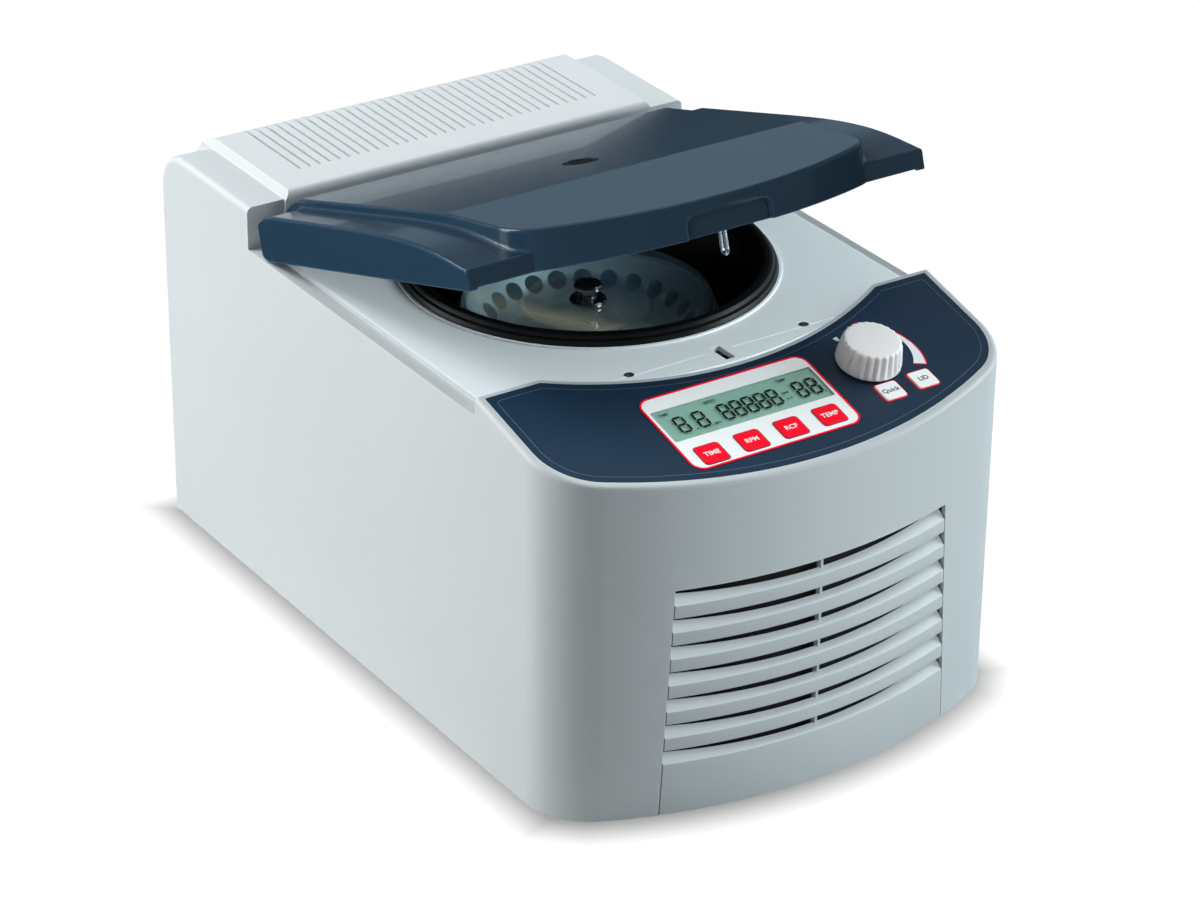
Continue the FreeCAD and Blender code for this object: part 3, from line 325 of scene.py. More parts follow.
# louvre faces: 0.86 is painted shade on fronts, 1.12 a painted highlight on tops
louvre_plastic("louvre_grey_painted_light", HOUSING_GREY, front=0.86, top=1.12)
plastic("deck_grey", srgb(204, 213, 216), roughness=0.40, grain=0.8, vary=0.012,
        edge_highlight=EDGE_HIGHLIGHT_GREY)
plastic("cover_grey", srgb(214, 219, 221), vary=0.012, edge_highlight=srgb(226, 231, 233))
plastic("lid_slate", srgb(27, 47, 63), roughness=0.21, grain=0.30, vary=0.015, specular=0.28,
        coat=0.18, edge_highlight=srgb(66, 88, 106), grain_scale=1100, patch=0.015)
plastic("liner_slate", srgb(48, 60, 74), roughness=0.45, vary=0.04)
plastic("overlay_navy", srgb(30, 56, 80), roughness=0.40, grain=0.5, vary=0.02, specular=0.3,
        grain_scale=2200, patch=0.03)
plastic("display_white", FILM_WHITE, roughness=0.36, grain=0.5, vary=0.01, grain_scale=2200)
plastic("key_white", FILM_WHITE, roughness=0.34, grain=0.5, vary=0.01, grain_scale=1800)
plastic("key_red", (1.0, 0.0, 0.020), roughness=0.45, grain=0.5, vary=0.01, specular=0.18,
        grain_scale=1800, patch=0.03)
ink("ink_red", (0.95, 0.0, 0.022), roughness=0.45, specular=0.18)
ink("ink_navy", srgb(24, 38, 56), vary=0.02)
ink("ink_white", srgb(244, 244, 244))
ink("ink_line", srgb(104, 122, 142), vary=0.02)
ink("ink_crescent", srgb(228, 236, 237))
plastic("lcd_green", srgb(150, 188, 178), roughness=0.30, grain=0.4, vary=0.02)
ink("lcd_segment", srgb(9, 16, 15), roughness=0.5, vary=0.05, specular=0.15)
plastic("knob_grey", srgb(232, 232, 231), roughness=0.46, grain=1.4, grain_scale=900,
        edge_highlight=srgb(244, 244, 243))
plastic("carrier_grey", srgb(180, 186, 188), roughness=0.5, vary=0.02)
plastic("black_moulded", srgb(26, 27, 28), roughness=0.45, grain=1.3, vary=0.1)
plastic("bowl_black", srgb(14, 15, 16), roughness=0.34, grain=0.8, vary=0.15, coat=0.25)
rubber("rubber_black", (0.012, 0.012, 0.013), roughness=0.5, specular=0.45)
rubber("gasket_black", (0.003, 0.0034, 0.004), roughness=0.42, specular=0.25)
plastic("filter_black", srgb(18, 18, 18), roughness=0.8, grain=3.0, vary=0.2, grain_scale=500)
metal("filter_wire", (0.10, 0.10, 0.10), roughness=0.5)
metal("zinc_sheet", (0.60, 0.61, 0.62), roughness=0.36, brushed=(1, 1, 30))
metal("ground_steel", (0.66, 0.66, 0.67), roughness=0.22, brushed=(1, 1, 14))
metal("chrome", (0.86, 0.86, 0.87), roughness=0.10, scratch=0.1, vary=0.01)
metal("dark_chrome", (0.34, 0.35, 0.37), roughness=0.09, scratch=0.1, vary=0.01)
metal("screw_steel", (0.40, 0.41, 0.43), roughness=0.32)
metal("rotor_aluminium", (0.62, 0.69, 0.67), roughness=0.36, brushed=(1, 1, 40), vary=0.03,
      metallic=0.45)
metal("fin_aluminium", (0.70, 0.71, 0.72), roughness=0.35)
metal("copper", (0.72, 0.38, 0.22))
plastic("black_enamel", srgb(22, 22, 24), roughness=0.3, grain=0.6, vary=0.1, coat=0.4)
plastic("board_green", srgb(20, 78, 44), roughness=0.35, grain=0.6, vary=0.1)
plastic("foam", srgb(214, 205, 172), roughness=0.85, grain=4.0, vary=0.05, grain_scale=300)
rotor_lid_plastic("rotor_lid_clear")
see_through("smoked_window", (0.05, 0.06, 0.07), roughness=0.06)
see_through("display_lens", (0.97, 1.0, 0.98), roughness=0.03, clearness=0.92)

# material: the CAD pieces that wear it
WORN_BY = {
    "housing_grey": "main_housing front_grille",
    "cover_grey": "rear_vent_cover",
    "deck_grey": "top_deck",
    "filter_black": "air_filter",
    "carrier_grey": "panel_carrier",
    "overlay_navy": "panel_overlay",
    "display_white": "display_bezel",
    "display_lens": "display_window",
    "lcd_green": "lcd_module",
    "key_red": "time_key rpm_key rcf_key temp_key",
    "key_white": "quick_key lid_key",
    "knob_grey": "speed_knob",
    "board_green": "control_pcb",
    "zinc_sheet": "encoder_body rear_panel base_plate chamber_support motor_mount_plate "
                  "motor_stand hinge_brackets power_supply",
    "screw_steel": "deck_screws case_screws foot_screws",
    "foam": "chamber_insulation",
    "gasket_black": "chamber_gasket",
    "rubber_black": "rubber_feet motor_mounts shaft_seal",
    "bowl_black": "chamber_bowl",
    "copper": "evaporator_coil refrigerant_pipes motor_stator",
    "black_enamel": "motor_housing compressor lock_solenoid",
    "ground_steel": "motor_bearings motor_rotor drive_shaft hinge_pins lock_bolt",
    "chrome": "latch_striker",
    "fin_aluminium": "condenser",
    "rotor_aluminium": "rotor_body",
    "rotor_lid_clear": "rotor_lid",
    "dark_chrome": "rotor_lid_knob",
    "lid_slate": "lid_shell",
    "liner_slate": "lid_liner",
    "smoked_window": "lid_viewport",
    "black_moulded": "fan_frame fan_blades lid_lock_housing power_inlet switch_frame "
                     "power_rocker",
}
for material_name, pieces in WORN_BY.items():
    for piece in pieces.split():
        slots = NODES[piece].data.materials
        slots.clear()
        slots.append(MATERIALS[material_name])


# ------------------------------------------------------------------ shapes
class Shape:
    """Vertices (mm) and faces, gathered part by part."""

    def __init__(self):
        self.verts = []
        self.faces = []

    def add(self, verts, faces):
        start = len(self.verts)
        self.verts += verts
        self.faces += [tuple(i + start for i in face) for face in faces]
        return self

    def loft(self, rings, cap=True):
        """Join equally long closed rings, and cap the ends."""
        n = len(rings[0])
        faces = []
        for i in range(len(rings) - 1):
            for j in range(n):
                a, b = i * n + j, i * n + (j + 1) % n
                faces.append((a, b, b + n, a + n))
        if cap:
            faces.append(tuple(range(n))[::-1])
            faces.append(tuple(range((len(rings) - 1) * n, len(rings) * n)))
        return self.add([point for ring in rings for point in ring], faces)

    def plate(self, outline, low, high):
        """Closed 2-D outline between two heights."""
        n = len(outline)
        verts = [(x, y, w) for w in (low, high) for x, y in outline]
        sides = [(i, (i + 1) % n, (i + 1) % n + n, i + n) for i in range(n)]
        return self.add(verts, [tuple(range(n))[::-1], tuple(range(n, 2 * n))] + sides)

    def strip(self, left, right, low, high, closed=False):
        """Flat band between two 2-D lines."""
        rings = [[(*a, low), (*b, low), (*b, high), (*a, high)] for a, b in zip(left, right)]
        if closed:
            rings.append(rings[0])
        return self.loft(rings, cap=not closed)

    def ribbon(self, points, half, low, high, closed=False):
        """Flat line of the given half width along 2-D points."""
        n = len(points)
        left, right = [], []
        for i, (x, y) in enumerate(points):
            before = points[i - 1] if (i > 0 or closed) else points[0]
            after = points[(i + 1) % n] if (i < n - 1 or closed) else points[-1]
            dx, dy = after[0] - before[0], after[1] - before[1]
            length = math.hypot(dx, dy) or 1
            left.append((x - dy / length * half, y + dx / length * half))
            right.append((x + dy / length * half, y - dx / length * half))
        return self.strip(left, right, low, high, closed)

    def text(self, words, size, x, y, height, bold):
        """Flat lettering centred on x, y."""
        curve = bpy.data.curves.new("txt", "FONT")
        curve.body = words
        curve.size = 1.0
        curve.align_x = "CENTER"
        curve.align_y = "CENTER"
        curve.offset = bold
        curve.resolution_u = 4
        holder = bpy.data.objects.new("txt", curve)
        bpy.context.scene.collection.objects.link(holder)
        mesh = holder.evaluated_get(bpy.context.evaluated_depsgraph_get()).to_mesh()
        verts = [(x + v.co.x * size, y + v.co.y * size, height) for v in mesh.vertices]
        faces = [tuple(p.vertices) for p in mesh.polygons]
        bpy.data.objects.remove(holder)
        bpy.data.curves.remove(curve)
        return self.add(verts, faces)


def make(name, shape, material, body, angle, frame=None):
    """Turn a shape into an object riding on body; angle (degrees) is where edges go sharp."""
    mesh = bpy.data.meshes.new(name)
    mesh.from_pydata([Vector(v) * MM for v in shape.verts], [], shape.faces)
    mesh.validate()
    bm = bmesh.new()
    bm.from_mesh(mesh)
    bmesh.ops.remove_doubles(bm, verts=bm.verts, dist=1e-7)
    bmesh.ops.recalc_face_normals(bm, faces=bm.faces)
    bm.to_mesh(mesh)
    bm.free()
    if frame:
        mesh.transform(frame)
    mesh.polygons.foreach_set("use_smooth", [True] * len(mesh.polygons))
    mesh.set_sharp_from_angle(angle=math.radians(angle))
    ob = bpy.data.objects.new(name, mesh)
    bpy.context.scene.collection.objects.link(ob)
    mesh.materials.append(MATERIALS[material])
    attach(ob, body)
    return ob


def panel_piece(name, shape, material, slot, body="housing", angle=35):
    return make(name, shape, material, body, angle, PANEL)


def rounded_box(x0, x1, y0, y1, radius, steps):
    """Rectangle outline with rounded corners, each in the given number of steps."""
    points = []
    for cx, cy, start in ((x1 - radius, y1 - radius, 0), (x0 + radius, y1 - radius, 90),
                          (x0 + radius, y0 + radius, 180), (x1 - radius, y0 + radius, 270)):
        for i in range(steps + 1):
            a = math.radians(start + 90.0 * i / steps)
            points.append((cx + radius * math.cos(a), cy + radius * math.sin(a)))
    return points


def polar(centre, radius, angle):
    return centre[0] + radius * math.cos(angle), centre[1] + radius * math.sin(angle)


# ------------------------------------------------------------------ display outline
display_line = rounded_box(-69.7, 34.1, slope(-206.2) + 0.1, slope(-149.6) - 0.1,
                           radius=6.9, steps=10)
panel_piece("display_outline",
            Shape().ribbon(display_line, half=0.55, low=0.20, high=0.33, closed=True),
            "ink_red", "red_key")

# ------------------------------------------------------------------ key print
RED_KEYS = dict(
    size=4.4, drop=0.2, label=("ink_white", "white_key"),       # letters; ink and slot
    half_x=7.62, half_v=7.12, radius=2.1,                       # border outline
    line=dict(half=0.30, low=0.22, high=0.30), border=("ink_navy", "overlay_film"))
WHITE_KEYS = dict(
    size=4.3, drop=0.1, label=("ink_navy", "overlay_film"),
    half_x=6.95, half_v=6.65, radius=1.9,
    line=dict(half=0.42, low=-0.04, high=0.10), border=("ink_red", "red_key"))
# key, centre x, plan y, word, style
KEYS = [
    ("time_key", -55.2, -197.5, "TIME", RED_KEYS),
    ("rpm_key", -30.2, -196.9, "RPM", RED_KEYS),
    ("rcf_key", -5.3, -196.3, "RCF", RED_KEYS),
    ("temp_key", 19.5, -195.7, "TEMP", RED_KEYS),
    ("quick_key", 61.3, -192.0, "Quick", WHITE_KEYS),
    ("lid_key", 83.6, -190.5, "LID", WHITE_KEYS),
]


def key_print(key, x, y, word, style):
    """The word on a key, which moves with it, and the border on the panel around it."""
    v = slope(y)
    label = Shape().text(word, style["size"], x, v - style["drop"], height=0.93, bold=0.022)
    panel_piece(key + "_label", label, *style["label"], body=key)
    half_x, half_v = style["half_x"], style["half_v"]
    outline = rounded_box(x - half_x, x + half_x, v - half_v, v + half_v,
                          style["radius"], steps=5)
    panel_piece(key + "_border", Shape().ribbon(outline, **style["line"], closed=True),
                *style["border"])


for entry in KEYS:
    key_print(*entry)

# ------------------------------------------------------------------ LCD segments
LCD_X, LCD_V = -66.6, slope(-182.4)         # lower left corner
LCD_W, LCD_H = 31.2 - LCD_X, slope(-160.2) - LCD_V
DIGIT_V = LCD_V + 0.43 * LCD_H
DIGIT_H, STROKE = 12.8, 1.3
SEGMENT_GAP = 0.18 * STROKE
SEGMENT_LOW, SEGMENT_HIGH = 0.12, 0.16
# digit width, centres as shares of the LCD width
DIGITS = [
    (6.8, (0.1026, 0.222)),
    (6.4, (0.379, 0.457, 0.535, 0.612, 0.690)),
    (6.4, (0.859, 0.944)),
]
# word, centre as shares of the LCD width and height, letter size
LCD_WORDS = [
    ("TIME", 0.055, 0.87, 2.7), ("SPEED", 0.345, 0.87, 2.7), ("TEMP", 0.80, 0.87, 2.7),
    ("MIN", 0.292, 0.17, 2.3), ("RPM", 0.765, 0.46, 2.2), ("RCF", 0.765, 0.26, 2.2),
    ("°C", 0.981, 0.17, 2.2),
]


def add_digit(shape, x, width):
    """An 8 in seven pointed segments."""
    t = STROKE / 2
    left, right = x - width / 2 + t, x + width / 2 - t
    bottom, top = DIGIT_V - DIGIT_H / 2 + t, DIGIT_V + DIGIT_H / 2 - t

    def level(y):
        x0, x1 = left + SEGMENT_GAP, right - SEGMENT_GAP
        shape.plate([(x0, y), (x0 + t, y - t), (x1 - t, y - t),
                     (x1, y), (x1 - t, y + t), (x0 + t, y + t)], SEGMENT_LOW, SEGMENT_HIGH)

    def upright(x, y0, y1):
        y0, y1 = y0 + SEGMENT_GAP, y1 - SEGMENT_GAP
        shape.plate([(x, y0), (x + t, y0 + t), (x + t, y1 - t),
                     (x, y1), (x - t, y1 - t), (x - t, y0 + t)], SEGMENT_LOW, SEGMENT_HIGH)

    level(top)
    upright(right, DIGIT_V, top)
    upright(right, bottom, DIGIT_V)
    level(bottom)
    upright(left, bottom, DIGIT_V)
    upright(left, DIGIT_V, top)
    level(DIGIT_V)


def lcd_segments():
    shape = Shape()
    for width, shares in DIGITS:
        for share in shares:
            add_digit(shape, LCD_X + share * LCD_W, width)
    # square point between the first two digits
    x, v, half = LCD_X + 0.163 * LCD_W, DIGIT_V - 5.9, 0.5
    shape.plate([(x - half, v - half), (x + half, v - half),
                 (x + half, v + half), (x - half, v + half)], SEGMENT_LOW, SEGMENT_HIGH)
    for word, across, up_share, size in LCD_WORDS:
        shape.text(word, size, LCD_X + across * LCD_W, LCD_V + up_share * LCD_H,
                   height=0.15, bold=0.012)
    panel_piece("lcd_segments", shape, "lcd_segment", "lcd")


lcd_segments()

# ------------------------------------------------------------------ print around the knob
KNOB = (64.2, slope(-168.0))                # knob centre on the panel
PRINT_LOW, PRINT_HIGH = -0.03, 0.06


def speed_crescent():
    """Crescent beside the knob that widens clockwise, with a red outer edge."""
    steps, start, end = 44, 66.0, -25.0     # angles in degrees
    outer, inner = [], []
    for i in range(steps + 1):
        t = i / steps
        angle = math.radians(start + (end - start) * t)
        radius = 33.4 - 1.6 * t
        width = 0.25 + 6.9 * t ** 1.5
        outer.append(polar(KNOB, radius, angle))
        inner.append(polar(KNOB, radius - width, angle))
    panel_piece("speed_crescent", Shape().strip(outer, inner, PRINT_LOW, PRINT_HIGH),
                "ink_crescent", "display_white")
    edge = Shape().ribbon(outer + [inner[-1]], half=0.34, low=-0.02, high=0.09)
    panel_piece("speed_crescent_edge", edge, "ink_red", "red_key")


def speed_tick():
    """Small mark behind the knob, wider away from it."""
    angle = math.radians(101.0)
    outline = []
    for radius, offset in ((21.4, 1.0), (24.4, 1.5), (24.4, -1.5), (21.4, -1.0)):
        x, v = polar(KNOB, radius, angle)
        outline.append((x - offset * math.sin(angle), v + offset * math.cos(angle)))
    panel_piece("speed_tick", Shape().plate(outline, PRINT_LOW, PRINT_HIGH),
                "ink_crescent", "display_white")


speed_crescent()
speed_tick()

# ------------------------------------------------------------------ line inside the overlay's edge
OVERLAY_MARGIN = 4.4                        # overlay edge to the housing's outline
LINE_INSET = 4.2                            # line to the overlay edge
REAR_ARC_R, REAR_ARC_CY = 225.2, 81.2       # arc of the overlay's rear edge
REAR_EDGE_Y = -117.2                        # straight rear edge at the sides


def overlay_half():
    """Right half of the line in plan, from the middle of the rear to that of the front."""
    inset = OVERLAY_MARGIN + LINE_INSET
    rear_r = REAR_ARC_R + LINE_INSET
    rear_y = REAR_EDGE_Y - LINE_INSET
    arc_end_x = math.sqrt(rear_r ** 2 - (rear_y - REAR_ARC_CY) ** 2)
    front_r, corner_r, side_x = FRONT_R - inset, CORNER_R - inset, HALF_WIDTH - inset
    corner_x = HALF_WIDTH - CORNER_R
    corner_dy = math.sqrt((FRONT_R - CORNER_R) ** 2 - corner_x ** 2)
    front_end = math.atan2(corner_x, corner_dy)

    points = []
    for i in range(25):
        a = math.asin(arc_end_x / rear_r) * i / 24
        points.append((rear_r * math.sin(a), REAR_ARC_CY - rear_r * math.cos(a)))
    points += [(side_x - 2.0, rear_y), (side_x - 0.6, rear_y - 0.6), (side_x, rear_y - 2.0)]
    for i in range(13):
        a = -(math.pi / 2 - front_end) * i / 12
        points.append(polar((corner_x, FRONT_CY - corner_dy), corner_r, a))
    for i in range(1, 25):
        a = front_end * (1 - i / 24)
        points.append((front_r * math.sin(a), FRONT_CY - front_r * math.cos(a)))
    return points


right_half = overlay_half()
left_half = [(-x, y) for x, y in reversed(right_half)][1:-1]
overlay_loop = [(x, slope(y)) for x, y in right_half + left_half]
panel_piece("overlay_line",
            Shape().ribbon(overlay_loop, half=0.14, low=-0.03, high=0.03, closed=True),
            "ink_line", "overlay_film")

# ------------------------------------------------------------------ speed knob
FLUTES, STEPS_PER_FLUTE, FLUTE_DEPTH = 24, 10, 1.05
# radius, height, share of the flute depth
KNOB_PROFILE = [
    (8.0, 1.0, 0), (17.4, 1.0, 0), (17.8, 1.5, 0.3), (17.75, 2.6, 0.8), (17.5, 4.5, 1.0),
    (16.8, 9.0, 1.0), (16.2, 12.8, 1.0), (15.95, 13.9, 1.0), (15.6, 14.6, 0.75),
    (15.0, 15.0, 0.4), (14.0, 15.15, 0.1), (8.0, 15.2, 0), (0.01, 15.2, 0),
]
SHAFT_R, SHAFT_STEPS, SHAFT_HEIGHTS = 3, 24, (-16.4, -16.0, 1.5)


def knob_ring(radius, height, fluting):
    ring = []
    steps = FLUTES * STEPS_PER_FLUTE
    for i in range(steps):
        a = 2 * math.pi * i / steps
        ridge = abs(math.sin(a * FLUTES / 2))
        cut = fluting * FLUTE_DEPTH * (1 - ridge) ** 0.8
        ring.append((*polar(KNOB, radius - cut, a), height))
    return ring


def shaft_ring(height):
    return [(*polar(KNOB, SHAFT_R, 2 * math.pi * i / SHAFT_STEPS), height)
            for i in range(SHAFT_STEPS)]


knob_shape = Shape().loft([knob_ring(*station) for station in KNOB_PROFILE])
knob_shape.loft([shaft_ring(height) for height in SHAFT_HEIGHTS])
knob = panel_piece("knob_fluted", knob_shape, "knob_grey", "knob_plastic",
                   body="speed_knob", angle=50)
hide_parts("speed_knob")

# ------------------------------------------------------------------ front grille
SLOT_TOP, SLOT_PITCH, SLOT_H, SLOTS = 136.0, 15.57, 8.0, 7
GRILLE_BOTTOM = 4.0
LOUVRE_STEPS, LOUVRE_DEPTH = 60, 5.4
SIDE_GAP = 0.30


def on_front(x, depth, z):
    """Point at a depth behind the curved front face."""
    radius = FRONT_R - depth
    return (x, FRONT_CY - math.sqrt(radius * radius - x * x), z)


def bar_ring(x0, x1, depth0, depth1, z):
    """Level section of an upright bar."""
    return [on_front(x0, depth0, z), on_front(x1, depth0, z),
            on_front(x1, depth1, z), on_front(x0, depth1, z)]


def grille_half(z):
    """Half width of the grille, wider lower down."""
    return 85.5 + (SLOT_TOP - z) * 0.0495 - SIDE_GAP


def louvre_ring(t, low, high):
    """Section of a louvre at t, -1 to 1 across; its back edge rises towards the sides."""
    rise = 0.3 + 3.6 * t * t
    depth = LOUVRE_DEPTH
    # depth, z
    profile = [
        (0.0, low + 0.25), (0.0, high - 0.45), (0.12, high - 0.12), (0.5, high + 0.10),
        (depth * 0.5, high + 0.2 + rise * 0.56), (depth, high + rise),
        (depth + 1.2, high + rise + 0.1), (depth + 1.5, high + rise - 1.6),
        (2.8, high - 2.0), (2.8, low + 0.6), (2.4, low + 0.1), (0.35, low),
    ]
    return [on_front(t * grille_half(z), d, z) for d, z in profile]


def grille_louvres():
    shape = Shape()
    for i in range(SLOTS):
        high = SLOT_TOP - SLOT_PITCH * i - SLOT_H
        low = SLOT_TOP - SLOT_PITCH * (i + 1) if i + 1 < SLOTS else GRILLE_BOTTOM
        shape.loft([louvre_ring(-1 + 2 * j / LOUVRE_STEPS, low, high)
                    for j in range(LOUVRE_STEPS + 1)])
    # upright bar in the middle
    shape.loft([bar_ring(-0.75, 0.75, 4.9, 8.4, z) for z in (5.0, SLOT_TOP + 0.3)])
    # rib at each end
    for side in (-1, 1):
        rings = []
        for z in (5.0, 40.0, 90.0, SLOT_TOP + 0.4):
            half = grille_half(z)
            rings.append(bar_ring(side * (half - 2.4), side * half, 6.2, 8.4, z))
        shape.loft(rings)
    return make("grille_louvres", shape, "louvre_grey_painted_light", "housing", angle=30)


grille = grille_louvres()
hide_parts("front_grille")

# ------------------------------------------------------------------ wire mesh behind the louvres
MESH_HALF, MESH_BOTTOM, MESH_TOP = 86, 15.0, 141.0
UPRIGHT_PITCH, UPRIGHT_HALF = 1.25, 0.28
LEVEL_PITCH, LEVEL_HALF, LEVEL_STEPS = 1.6, 0.2, 24


def filter_wires():
    shape = Shape()
    width = 2 * MESH_HALF
    for i in range(int(width / UPRIGHT_PITCH)):
        x = -MESH_HALF + i * UPRIGHT_PITCH
        shape.loft([bar_ring(x - UPRIGHT_HALF, x + UPRIGHT_HALF, 9.4, 9.9, z)
                    for z in (MESH_BOTTOM, MESH_TOP)])
    for j in range(int((MESH_TOP - MESH_BOTTOM) / LEVEL_PITCH)):
        z = MESH_BOTTOM + 0.4 + j * LEVEL_PITCH
        low, high = z - LEVEL_HALF, z + LEVEL_HALF
        rings = []
        for i in range(LEVEL_STEPS + 1):
            x = -MESH_HALF + width * i / LEVEL_STEPS
            rings.append([on_front(x, 9.6, low), on_front(x, 9.6, high),
                          on_front(x, 9.85, high), on_front(x, 9.85, low)])
        shape.loft(rings)
    make("filter_wires", shape, "filter_wire", "housing", angle=30)


filter_wires()


# ------------------------------------------------------------------ floor
def outline_gap(m, position):
    """Distance outside the machine's plan outline, in metres."""
    x, y, _ = m.split(position)
    from_arc = m.measure("DISTANCE", position, (0.0, FRONT_CY * MM, 0.0))
    gap = m.math("MAXIMUM",
                 m.math("SUBTRACT", m.math("ABSOLUTE", x), cad_hi[0]),
                 m.math("SUBTRACT", from_arc, FRONT_R * MM))
    gap = m.math("MAXIMUM", gap, m.math("SUBTRACT", y, cad_hi[1]))
    # a diagonal cuts off the front corners
    diagonal = m.math("ADD", m.math("ABSOLUTE", x), m.math("MULTIPLY", y, -1.0))
    corner = m.math("MULTIPLY", m.math("SUBTRACT", diagonal, 0.3234), 0.72)
    return m.math("MAXIMUM", gap, corner)


def floor_material():
    """Pale to diffuse light, dark in reflections, and white with a contact shade in view."""
    m = Material("floor_pale")
    position = m.node("NewGeometry").outputs["Position"]
    # a dark patch, front left, keeps bounce light off the front corner
    from_patch = m.measure("DISTANCE", position, (-0.30, -0.58, 0.0))
    m.set(colour=m.mix(m.remap(from_patch, source=(0.22, 0.50)), (0.12,) * 3, (0.88,) * 3),
          roughness=0.9, specular=0.1)
    m.bump(m.noise(scale=200.0), strength=0.02, distance=0.0002)
    rays = m.node("LightPath").outputs
    dark = m.node("Emission", {0: (0.012, 0.015, 0.018)}).outputs[0]
    unseen = m.mix_shader(rays["Is Glossy Ray"], m.base, dark)

    gap = m.remap(outline_gap(m, position), source=(-0.006, 0.017))
    brightness = m.ramp(gap, [(0.0, 0.36), (0.25, 0.51), (0.5, 0.68), (0.75, 0.85), (1.0, 0.99)])
    glow = m.node("Emission", {0: (1, 1, 1), 1: brightness}).outputs[0]
    thin = m.node("BsdfDiffuse", {0: (0.04, 0.04, 0.04)}).outputs[0]
    seen = m.node("AddShader", {0: thin, 1: glow}).outputs[0]
    m.surface(m.mix_shader(rays["Is Camera Ray"], unseen, seen))
    return m.material


bpy.ops.mesh.primitive_plane_add(size=14, location=(0, 0, 0))
floor = bpy.context.object
floor.name = "floor"
floor.data.materials.append(floor_material())


# ------------------------------------------------------------------ world
def studio_world():
    """Soft sky for lighting, plain white in view, and a dim backdrop in reflections."""
    world = bpy.data.worlds.new("studio")
    bpy.context.scene.world = world
    world.use_nodes = True
    g = Graph(world.node_tree)
    output = g.node("OutputWorld")
    rays = g.node("LightPath").outputs
    height = g.split(g.node("TexCoord").outputs["Generated"])["Z"]
    sky_tone = g.ramp(height, [(0.0, (0.20, 0.21, 0.23)), (0.10, (0.85, 0.92, 0.97)),
                               (0.75, (0.95, 0.97, 1.0))])
    sky = g.node("Background", {0: sky_tone, 1: 0.20}).outputs[0]
    white = g.node("Background", {0: (1, 1, 1), 1: 1.0}).outputs[0]
    backdrop_tone = g.ramp(height, [(0.10, (0.27, 0.37, 0.45)), (0.30, (0.16, 0.17, 0.18))])
    backdrop = g.node("Background", {0: backdrop_tone}).outputs[0]
    direct = g.mix_shader(rays["Is Camera Ray"], sky, white)
    g.feed(output.inputs[0], g.mix_shader(rays["Is Glossy Ray"], direct, backdrop))


studio_world()


# ------------------------------------------------------------------ lights
def add_light(name, place, target, energy, colour=(1, 1, 1), kind="AREA", **settings):
    light = bpy.data.lights.new(name, kind)
    light.energy = energy
    light.color = colour
    for key, value in settings.items():
        setattr(light, key, value)
    ob = bpy.data.objects.new(name, light)
    bpy.context.scene.collection.objects.link(ob)
    ob.location = place
    ob.rotation_euler = (Vector(target) - Vector(place)).to_track_quat("-Z", "Y").to_euler()
    return ob


def group(name, objects):
    """Collection for light linking."""
    collection = bpy.data.collections.new(name)
    for ob in objects:
        collection.objects.link(ob)
    return collection


def nodes(names):
    return [NODES[name] for name in names.split()]


BODY = (0, 0, 0.12)                         # common aim, low in the machine
TOP = (0, 0, 0.2)                           # common aim, near its top

add_light("key_back_left", (-1.5, 1.8, 2.2), TOP, size=1.6, energy=80)
add_light("side_left", (-2.5, 1.6, 0.9), BODY, size=1.3, energy=28)
right_light = add_light("right_soft", (2.6, -0.2, 1.4), BODY, size=1.6, energy=35,
                        colour=(0.90, 1.0, 1.04))
right_light.visible_glossy = False
front_light = add_light("front_right", (2.9, -1.5, 0.8), BODY, size=1.2, energy=52,
                        colour=(0.88, 1.0, 1.04))
spare = group("spare_lid", nodes("lid_shell"))
front_light.light_linking.receiver_collection = spare
for member in spare.collection_objects:
    member.light_linking.link_state = "EXCLUDE"
add_light("top_soft", (0.3, 0.6, 2.6), TOP, size=1.8, energy=9)

# for the deck and the chamber; the lid casts no shadow in it
deck_light = add_light("deck_soft", (1.5, -1.7, 1.7), (0, -0.05, 0.21), size=1.0, energy=70,
                       colour=(0.95, 1.0, 1.01))
deck_light.light_linking.receiver_collection = group("deck_lit", nodes(
    "top_deck rotor_body rotor_lid rotor_lid_knob deck_screws latch_striker"))
deck_light.light_linking.blocker_collection = group("deck_block", nodes(
    "top_deck rotor_body rotor_lid chamber_bowl chamber_gasket deck_screws"))

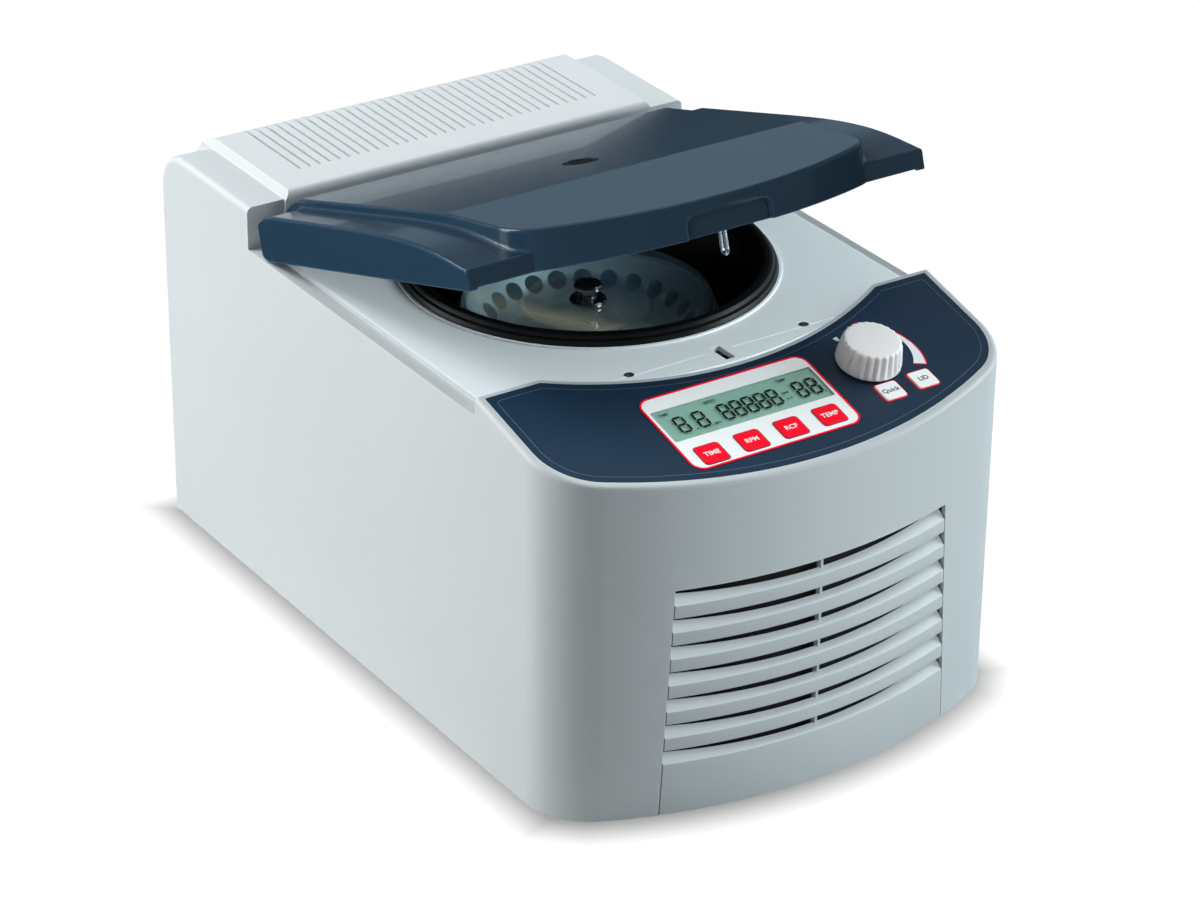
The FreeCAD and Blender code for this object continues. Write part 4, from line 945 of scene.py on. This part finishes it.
# for the keys, knob, display and bright print
PANEL_LIT = ("knob_fluted", "display_bezel", "lcd_module", "display_window", "display_outline",
             "lcd_segments", "speed_crescent", "speed_crescent_edge", "speed_tick")
panel_light = add_light("panel_soft", (0.9, -2.0, 1.9), (0, -0.17, 0.2), size=1.0, energy=26)
panel_light.light_linking.receiver_collection = group("panel_lit", [
    ob for ob in bpy.context.scene.objects
    if ob.type == "MESH" and (ob.name in PANEL_LIT or "_key" in ob.name)])

# soft spot on the middle of the curved front, fading before the left corner
front_spot = add_light("front_spot", (-0.35, -2.85, 0.55), (-0.022, -0.225, 0.10), energy=52,
                       colour=(0.92, 1.0, 1.03), kind="SPOT", spot_size=math.radians(5.4),
                       spot_blend=1.0, shadow_soft_size=0.05)
front_spot.scale = (1.0, 2.4, 1.0)
front_spot.light_linking.receiver_collection = group(
    "front_lit", nodes("main_housing") + [grille])

# lid fill from the front left
lid_light = add_light("lid_soft", (-1.9, -0.8, 0.9), (0, -0.05, 0.28), size=1.0, energy=37,
                      colour=(0.92, 1.0, 1.03))
lid_light.visible_glossy = False
lid_light.light_linking.receiver_collection = group("lid_lit", nodes("lid_shell"))

# for the louvres from above; only the floor blocks it
louvre_light = add_light("louvre_soft", (0.25, -0.60, 2.2), (0, -0.24, 0.08), size=0.8,
                         energy=15, colour=(0.95, 1.0, 1.02))
louvre_light.light_linking.receiver_collection = group("louvre_lit", [grille])
louvre_light.light_linking.blocker_collection = group("louvre_block", [floor])

# ------------------------------------------------------------------ camera
CAMERA_PLACE = (-1.0981873749, -1.6607429288, 1.1461885683)
# the camera's right, up and back directions
CAMERA_AXES = Matrix((
    (0.8347873714461577, -0.5504908615241694, 0.00947923269007685),
    (0.24925472843838267, 0.3932198889886719, 0.8850142367526325),
    (-0.49091967247720164, -0.7364359648211882, 0.46546744772622145)))

lens = bpy.data.cameras.new("camera")
lens.sensor_width = 36.0
lens.lens = 121.102077
lens.clip_start = 0.05
lens.clip_end = 100
camera = bpy.data.objects.new("camera", lens)
bpy.context.scene.collection.objects.link(camera)
camera.matrix_world = Matrix.Translation(CAMERA_PLACE) @ CAMERA_AXES.transposed().to_4x4()
bpy.context.scene.camera = camera
bpy.context.scene.view_settings.view_transform = "Standard"
bpy.context.scene.view_settings.look = "None"
